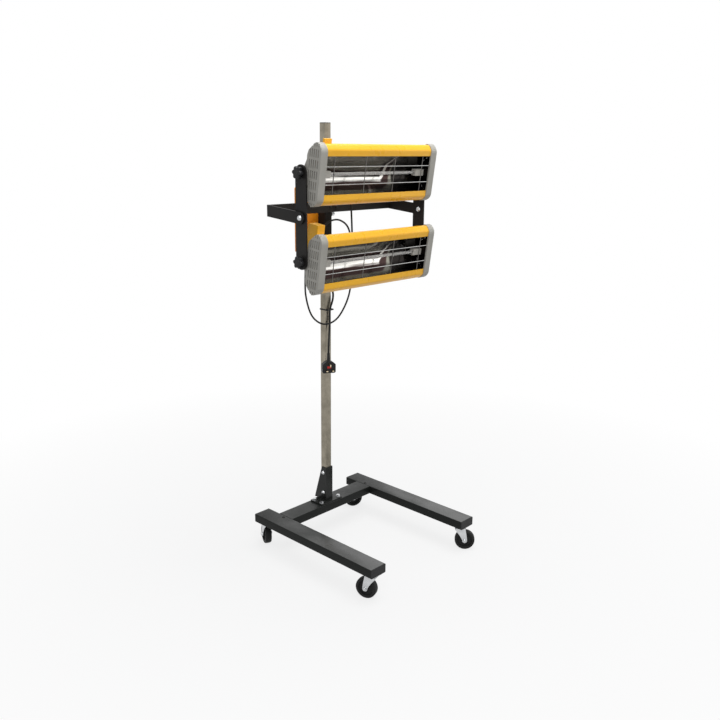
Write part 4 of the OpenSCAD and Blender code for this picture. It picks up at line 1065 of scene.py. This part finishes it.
@dataclass
class Cassette:
    """Heater cassette: housing, end caps, reflector, lamp, grille, terminal box and tilt knobs."""

    level: Level
    half_len: float = 253.0
    face_y: float = 70.0
    back_y: float = 15.0
    opening: float = 60.0
    half_h: float = 96.0
    nose_h: float = 20.0
    nose_out: float = 1.5
    shoulder_y: float = 58.0
    crest_y: float = 44.0
    heel_y: float = 19.0
    heel_h: float = 72.0
    back_h: float = 58.0
    wall: float = 2.0
    fold_r: float = 12.0
    gap: float = 0.3
    trough_t: float = 0.8
    trough_depth: float = 44.0
    mirror_t: float = 1.0
    lamp_y: float = 40.0
    lamp_r: float = 5.5
    lamp_len: float = 430.0
    pinch_len: float = 20.0
    coil_end: float = 26.0
    coil_r: float = 1.7
    coil_wire_r: float = 0.42
    coil_turns: int = 100
    wire_r: float = 1.5
    wire_z: float = 28.0
    bars: tuple[float, ...] = (-214.0, -71.0, 71.0, 214.0)
    knob_x: float = 292.8
    lid_screw_x: float = -227.0

    def to_place(self, shape: Shape) -> Shape:
        """Tilts a shape and moves it to this cassette's pivot."""
        return shape.turned("X", TILT).moved(0, HEAD_Y, HEAD_Z + self.level.value)

    def housing(self) -> Shape:
        """Folded sheet: its outline runs from lip to lip and is carried along X, 2 mm thick.

        Returns:
            The closed sheet.
        """
        half = [(-self.face_y, self.opening), (-self.face_y - self.nose_out, self.opening + self.nose_h),
                (-self.shoulder_y, self.half_h), (-self.crest_y, self.half_h), (-self.heel_y, self.heel_h),
                (-self.back_y, self.back_h)]
        line = rounded_line(half + [(y, -z) for y, z in half[::-1]], self.fold_r, 8)
        outline = np.vstack([line, beside(line, -self.wall)[::-1]])
        n, k = len(outline), len(line)
        points = np.vstack([np.column_stack([np.full(n, x), outline]) for x in (-self.half_len, self.half_len)])
        faces = [tuple(q) for q in quads(2, n, False, True).tolist()]
        for base in (0, n):
            faces += [(base + i, base + i + 1, base + n - 2 - i, base + n - 1 - i) for i in range(k - 1)]
        return Shape(points, faces)

    def reflector(self) -> Shape:
        """Parabolic trough with faint waves: depth = 44 (1 - s^2) plus two low sines along X and s.

        Returns:
            The trough's middle surface with its lips.
        """
        s = np.linspace(-1, 1, 41)
        x = np.linspace(-self.half_len + self.gap, self.half_len - self.gap, 90)[:, None]
        lip_z = -self.opening - np.array([6.0, 3.0])
        z = np.concatenate([lip_z, s * (self.opening - self.gap), -lip_z[::-1]])
        y = -self.face_y + self.wall + self.gap + self.trough_depth * (1 - s**2)
        y = np.concatenate([[y[0], y[0]], y, [y[-1], y[-1]]])
        wave = 0.06 * np.sin(x / 47 + z / 31) + 0.08 * np.sin(x / 161 - z / 9)
        fade = np.clip(1 - np.abs(z) / self.opening, 0, 1)
        depth = y + 0.5 + wave * fade
        points = np.stack([np.broadcast_to(x, depth.shape), depth, np.broadcast_to(z, depth.shape)], -1)
        return Shape(points.reshape(-1, 3), [tuple(q) for q in quads(len(x), len(z)).tolist()])

    def mirrors(self) -> Shape:
        """End mirrors: each a flat plate that fills the trough's section."""
        s, gap = np.linspace(-1, 1, 33), 2 * self.gap
        y = -self.face_y + self.wall + gap + (self.trough_depth - gap) * (1 - s**2)
        outline = np.column_stack([y, s * (self.opening - 1.0)])
        plate = slab(outline, self.mirror_t).moved(x=self.half_len - gap)
        return plate + plate.flipped()

    def lamp(self) -> Shape:
        """Quartz tube with pinched ends: its section grows flatter over the last 20 mm."""
        half, sides = self.lamp_len / 2, 28
        near = np.linspace(-half, -half + self.pinch_len + 2, 9)
        x = np.concatenate([near, -near[::-1]])
        ends = np.clip((half - np.abs(x)) / self.pinch_len, 0, 1)[:, None]
        angle = np.linspace(0, 2 * math.pi, sides, endpoint=False)
        wide = self.lamp_r * (0.92 + 0.08 * ends)
        thin = self.lamp_r * (0.35 + 0.65 * ends**0.6)
        points = np.stack([np.repeat(x[:, None], sides, 1), -self.lamp_y + thin * np.cos(angle),
                           wide * np.sin(angle)], -1)
        faces = [tuple(q) for q in quads(len(x), sides, False, True).tolist()]
        last = (len(x) - 1) * sides
        faces += [tuple(range(sides))[::-1], tuple(range(last, last + sides))]
        return Shape(points.reshape(-1, 3), faces)

    def filament(self) -> Shape:
        """Coiled filament: a helix of 100 turns along the lamp's axis."""
        half, r, samples = self.lamp_len / 2 - self.coil_end, self.coil_r, 10
        t = np.linspace(0, 1, self.coil_turns * samples + 1)
        turns = self.coil_turns * 2 * math.pi * t
        path = np.column_stack([-half + 2 * half * t, -self.lamp_y + r * np.cos(turns), r * np.sin(turns)])
        return sweep(path, self.coil_wire_r, 4)

    def grille(self) -> Shape:
        """Two long wires that end in the end caps."""
        x = (self.half_len + 1.9) * np.linspace(-1, 1, 9)
        path = np.column_stack([x, np.full(len(x), -self.face_y - 1.0), np.zeros(len(x))])
        wire = sweep(path, self.wire_r, 14)
        return wire.moved(z=self.wire_z) + wire.moved(z=-self.wire_z)

    def cross_wires(self) -> Shape:
        """Four short wires behind the long ones, with ends rounded like a button."""
        reach, straight = self.opening - 0.95, np.linspace(-50, 50, 11)
        end_z, end_share = reach - np.array([0.0, 0.5, 1.6]), np.array([0.5, 0.85, 1.0])
        z = np.concatenate([-end_z, straight, end_z[::-1]])
        radius = self.wire_r * np.concatenate([end_share, np.ones(len(straight)), end_share[::-1]])
        path = np.column_stack([np.zeros(len(z)), np.full(len(z), -self.face_y + 1.4), z])
        wire = sweep(path, radius, 14)
        return joined([wire.moved(x) for x in self.bars])

    def knob(self, side: int) -> Shape:
        """Six-lobed knob: r = b(v) (1 - m(v) (0.5 - 0.5 cos 6 a)^1.4), with a boss towards the upright.

        Each row gives b, the distance from the seat and m.

        Args:
            side: -1 on the left, 1 on the right.

        Returns:
            The knob in the cassette's own frame.
        """
        rows = np.array([(0.0, 14.2, 0), (5.2, 14.2, 0), (5.2, 0.0, 0), (11.4, 0.0, 0), (12.0, 0.6, 0), (12.0, 4.6, 0),
                         (18.8, 5.0, 0.22), (20.4, 6.0, 0.25), (20.9, 7.6, 0.25), (20.9, 14.6, 0.25),
                         (20.0, 17.4, 0.25), (18.0, 18.9, 0.24), (14.0, 19.4, 0.16), (11.0, 19.0, 0.0),
                         (10.0, 19.2, 0.0), (9.4, 20.0, 0.0), (0.0, 20.0, 0.0)])
        lobes, sides = 6, 96
        angle = np.linspace(0, 2 * math.pi, sides, endpoint=False)
        lobe = (0.5 - 0.5 * np.cos(lobes * angle)) ** 1.4
        radius = rows[:, :1] * (1 - rows[:, 2:] * lobe)
        x = np.repeat(rows[:, 1:2], sides, 1) + self.knob_x
        points = np.stack([x, radius * np.cos(angle), radius * np.sin(angle)], -1)
        shape = Shape(points.reshape(-1, 3), [tuple(q) for q in quads(len(rows), sides, False, True).tolist()])
        return shape if side > 0 else shape.flipped()

    def terminal_screws(self) -> Shape:
        """Two domed screws on the terminal box's rear face."""
        head = revolve([(0, 1.6), (2.2, 1.4), (3.2, 0.8), (3.5, 0.0), (0, 0.0)], 24).turned("X", -90)
        rear, high = (15.0, 58.0) if self.level is Level.UPPER else (36.0, 96.0)
        return joined([head.moved(self.lid_screw_x, rear, z) for z in (high, -8.0)])

    def build(self, frame: Frame) -> None:
        """Dresses the cassette."""
        name, body, sheet = self.level.label, self.level.body, REFLECTORS[self.level]
        housing = self.to_place(self.housing()).piece(f"{name}_shell", AMBER, body, (f"{name}_housing",))
        bevel(housing, 0.4, 2, 50)
        frame.dress(CAST, f"{name}_end_caps")
        frame.soften(f"{name}_terminal_box", AMBER, 0.8, 3)
        frame.soften(f"{name}_lamp_holders", CERAMIC, 0.8, 3)
        frame.dress(ZINC, f"{name}_pivot_studs")
        trough = self.to_place(self.reflector()).piece(f"{name}_trough", sheet, body, (f"{name}_reflector",))
        modify(trough, "SOLIDIFY", thickness=self.trough_t * MM, offset=0.0)
        self.to_place(self.mirrors()).piece(f"{name}_end_mirrors", sheet, body)
        self.to_place(self.lamp()).piece(f"{name}_quartz", QUARTZ, body, (f"{name}_lamp",))
        self.to_place(self.filament()).piece(f"{name}_filament", FILAMENT, body)
        self.to_place(self.grille()).piece(f"{name}_wires", WIRE, body, (f"{name}_grille",))
        self.to_place(self.cross_wires()).piece(f"{name}_cross_wires", DULL_WIRE, body)
        self.to_place(self.terminal_screws()).piece(f"{name}_lid_screws", ZINC, body)
        for side, word in ((-1, "left"), (1, "right")):
            knob = self.to_place(self.knob(side))
            knob.piece(f"{name}_grip_{word}", BLACK_PLASTIC, f"knob_{name}_{word}", (f"{name}_knob_{word}",))


@dataclass(frozen=True)
class LeadRoute:
    """Route of one lead, in the mast's frame, with its diameter."""

    name: str
    node: str
    diameter: float
    points: tuple[tuple[float, float, float], ...]

    def line(self, steps: int = 8) -> Array:
        """Centre line in the part's frame."""
        return curve_through(self.points, steps) + np.array([0.0, MAST_Y, 0.0])


UPPER_LEAD = LeadRoute("upper_flex", "upper_lead", 6.5, (
    (-191.7, -192, 1390), (-150, -191, 1390), (-95, -180, 1388), (-30, -143, 1373), (22, -100, 1335), (46, -82, 1285),
    (60, -74, 1200), (76, -62, 1100), (86, -50, 1010), (78, -40, 930), (44, -32, 868), (0, -30, 843),
    (-38, -14, 843), (-60, 14, 875), (-61, 42, 945), (-55, 49.5, 1030), (-55, 49.5, 1079.7)))
LOWER_LEAD = LeadRoute("lower_flex", "lower_lead", 6.5, (
    (-191.7, -192, 1110), (-150, -191, 1110), (-95, -181, 1114), (-30, -145, 1130), (18, -108, 1164), (24, -82, 1202),
    (0, -58, 1220), (-30, -34, 1204), (-46, -10, 1150), (-48, 4, 1090), (-48, 6, 1052), (-43, 12.5, 1032),
    (-31.5, 28, 1023), (-20, 43, 1032), (-15, 49.5, 1050), (-15, 49.5, 1079.7)))
MAINS_LEAD = LeadRoute("mains_flex", "mains_lead", 7.5, (
    (22, 49.5, 1079.7), (22, 49.5, 1054), (27, 36, 1020), (29, 12, 985), (26, -10, 955), (16, -21, 928),
    (2, -20.4, 890), (0, -21, 850), (-4, -24, 821), (-13.5, -31.5, 792), (-23, -39, 763), (-27, -42, 734.3)))


@dataclass
class Leads:
    """The two lamp leads, the mains lead and its plug; the lamp leads bend between two places on Y."""

    bend_from: float = 105.0
    bend_to: float = 20.0

    def lead(self, route: LeadRoute, body: Body | None) -> bpy.types.Object:
        """Args:
            route: the lead's route.
            body: the body that it rides on, or None where it bends.

        Returns:
            The lead.
        """
        line = route.line()
        piece = sweep(line, route.diameter / 2, 16).piece(route.name, LEAD_SHEATH, body, (route.node,))
        return piece

    def build(self, frame: Frame) -> None:
        """Dresses the leads and the plug."""
        body = frame.soften("plug_body", BLACK_PLASTIC, 1.0, 3)
        pins = frame.soften("plug_pins", BRASS, 0.5)
        fuse = frame.soften("fuse_cover", RED_PLASTIC, 0.3)
        start, end = ((0.0, y * MM, HEAD_Z * MM) for y in (self.bend_from, self.bend_to))
        for route in (UPPER_LEAD, LOWER_LEAD):
            bend = self.lead(route, None)
            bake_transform(bend, Body.CARRIAGE.value, Body.HEAD.value, start, end)
        self.lead(MAINS_LEAD, Body.CARRIAGE)


@dataclass
class Studio:
    """Pale floor, soft lights and the photograph's camera."""

    eye: tuple[float, float, float] = (-2.0066, -1.8822, 1.4633)
    yaw: float = 46.44
    pitch: float = 14.87
    roll: float = 0.47
    focal_px: float = 795.7
    frame_px: float = 720.0
    sensor: float = 36.0
    far: float = 60.0
    sky: float = 0.42
    sky_colour: tuple[float, float, float] = (0.9, 0.92, 0.95)
    floor_half: float = 30.0
    floor_grey: float = 0.6
    white_from: float = 0.5
    white_at: float = 2.2
    white_share: float = 0.8

    def camera(self) -> None:
        """Sets the camera whose view matches the photograph's."""
        yaw, pitch, roll = (math.radians(a) for a in (self.yaw, self.pitch, self.roll))
        ahead = np.array([math.sin(yaw) * math.cos(pitch), math.cos(yaw) * math.cos(pitch), -math.sin(pitch)])
        right = np.array([math.cos(yaw), -math.sin(yaw), 0.0])
        up = np.cross(right, ahead)
        side = math.cos(roll) * right + math.sin(roll) * up
        top = -math.sin(roll) * right + math.cos(roll) * up
        data = bpy.data.cameras.new("camera")
        data.sensor_width = self.sensor
        data.lens = self.focal_px / self.frame_px * self.sensor
        data.clip_end = self.far
        camera = bpy.data.objects.new("camera", data)
        turn = np.eye(4)
        turn[:3, 0], turn[:3, 1], turn[:3, 2], turn[:3, 3] = side, top, -ahead, self.eye
        camera.matrix_world = Matrix(turn.tolist())
        bpy.context.scene.collection.objects.link(camera)
        bpy.context.scene.camera = camera

    def world(self) -> None:
        """Soft grey light for the object, and white for the camera, reflections and clear parts."""
        world = bpy.data.worlds.new("studio")
        world.use_nodes = True
        tree = world.node_tree
        tree.nodes.clear()
        rays = tree.nodes.new("ShaderNodeLightPath")
        soft, white = tree.nodes.new("ShaderNodeBackground"), tree.nodes.new("ShaderNodeBackground")
        soft.inputs["Color"].default_value = (*self.sky_colour, 1)
        soft.inputs["Strength"].default_value = self.sky
        white.inputs["Color"].default_value = (1, 1, 1, 1)
        white.inputs["Strength"].default_value = 1.0
        first, second = tree.nodes.new("ShaderNodeMath"), tree.nodes.new("ShaderNodeMath")
        for node in (first, second):
            node.operation = "MAXIMUM"
        mix, out = tree.nodes.new("ShaderNodeMixShader"), tree.nodes.new("ShaderNodeOutputWorld")
        tree.links.new(rays.outputs["Is Camera Ray"], first.inputs[0])
        tree.links.new(rays.outputs["Is Glossy Ray"], first.inputs[1])
        tree.links.new(first.outputs["Value"], second.inputs[0])
        tree.links.new(rays.outputs["Is Transmission Ray"], second.inputs[1])
        tree.links.new(second.outputs["Value"], mix.inputs["Fac"])
        tree.links.new(soft.outputs["Background"], mix.inputs[1])
        tree.links.new(white.outputs["Background"], mix.inputs[2])
        tree.links.new(mix.outputs["Shader"], out.inputs["Surface"])
        bpy.context.scene.world = world

    def floor(self) -> None:
        """Pale floor that keeps a faint shadow near the lamp and turns white further out."""
        mesh = bpy.data.meshes.new("floor")
        half = self.floor_half
        mesh.from_pydata([(-half, -half, 0), (half, -half, 0), (half, half, 0), (-half, half, 0)], [], [(0, 1, 2, 3)])
        material = bpy.data.materials.new("pale_floor")
        material.use_nodes = True
        tree = material.node_tree
        tree.nodes.clear()
        matt, white = tree.nodes.new("ShaderNodeBsdfDiffuse"), tree.nodes.new("ShaderNodeEmission")
        matt.inputs["Color"].default_value = (self.floor_grey, self.floor_grey, self.floor_grey, 1)
        where = tree.nodes.new("ShaderNodeTexCoord")
        reach = tree.nodes.new("ShaderNodeVectorMath")
        reach.operation = "LENGTH"
        share = tree.nodes.new("ShaderNodeMapRange")
        whiter = {"From Min": self.white_from, "From Max": self.white_at, "To Min": self.white_share, "To Max": 1.0}
        for key, value in whiter.items():
            share.inputs[key].default_value = value
        rays, times = tree.nodes.new("ShaderNodeLightPath"), tree.nodes.new("ShaderNodeMath")
        times.operation = "MULTIPLY"
        mix, out = tree.nodes.new("ShaderNodeMixShader"), tree.nodes.new("ShaderNodeOutputMaterial")
        seen = tree.nodes.new("ShaderNodeMath")
        seen.operation = "MAXIMUM"
        tree.links.new(where.outputs["Object"], reach.inputs[0])
        tree.links.new(reach.outputs["Value"], share.inputs["Value"])
        tree.links.new(rays.outputs["Is Camera Ray"], seen.inputs[0])
        tree.links.new(rays.outputs["Is Glossy Ray"], seen.inputs[1])
        tree.links.new(share.outputs["Result"], times.inputs[0])
        tree.links.new(seen.outputs["Value"], times.inputs[1])
        tree.links.new(times.outputs["Value"], mix.inputs["Fac"])
        tree.links.new(matt.outputs["BSDF"], mix.inputs[1])
        tree.links.new(white.outputs["Emission"], mix.inputs[2])
        tree.links.new(mix.outputs["Shader"], out.inputs["Surface"])
        mesh.materials.append(material)
        floor = bpy.data.objects.new("floor", mesh)
        bpy.context.scene.collection.objects.link(floor)
        floor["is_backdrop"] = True

    def light(self, name: str, at: Sequence[float], aim: Sequence[float], size: float, power: float) -> None:
        """Adds a square soft light.

        Args:
            name: the light's name.
            at: where it is, in metres.
            aim: the point that it faces.
            size: its side in metres.
            power: its power in watts.
        """
        data = bpy.data.lights.new(name, "AREA")
        data.size, data.energy = size, power
        lamp = bpy.data.objects.new(name, data)
        back = np.array(at, float) - np.array(aim, float)
        back /= np.linalg.norm(back)
        nearly_up = [0.0, 0.01, 1.0]
        side = np.cross(nearly_up, back)
        side /= np.linalg.norm(side)
        turn = np.eye(4)
        turn[:3, 0], turn[:3, 1], turn[:3, 2], turn[:3, 3] = side, np.cross(back, side), back, at
        lamp.matrix_world = Matrix(turn.tolist())
        bpy.context.scene.collection.objects.link(lamp)

    def build(self) -> None:
        """Sets the camera, the lights, the floor and the colour management."""
        self.camera()
        self.world()
        self.floor()
        self.light("key", (-1.7, -1.9, 3.2), (0, 0, 1.0), 1.6, 50.0)
        self.light("overhead", (0.3, -0.3, 3.2), (0, 0, 0.4), 1.8, 62.0)
        self.light("fill", (2.6, -1.2, 1.6), (0, 0, 0.9), 2.0, 10.0)
        bpy.context.scene.view_settings.view_transform = "Standard"


def main() -> None:
    """Builds the lamp's looks in order."""
    logging.basicConfig(level=logging.INFO, format="%(name)s: %(message)s")
    frame = Frame()
    Studio().build()
    Leads().build(frame)
    Stand().build(frame)
    Carriage().build(frame)
    for side in ("left", "right"):
        frame.soften(f"upright_{side}", SATIN_BLACK, 0.7, 3)
    for level in Level:
        Cassette(level).build(frame)


if __name__ == "__main__":
    main()
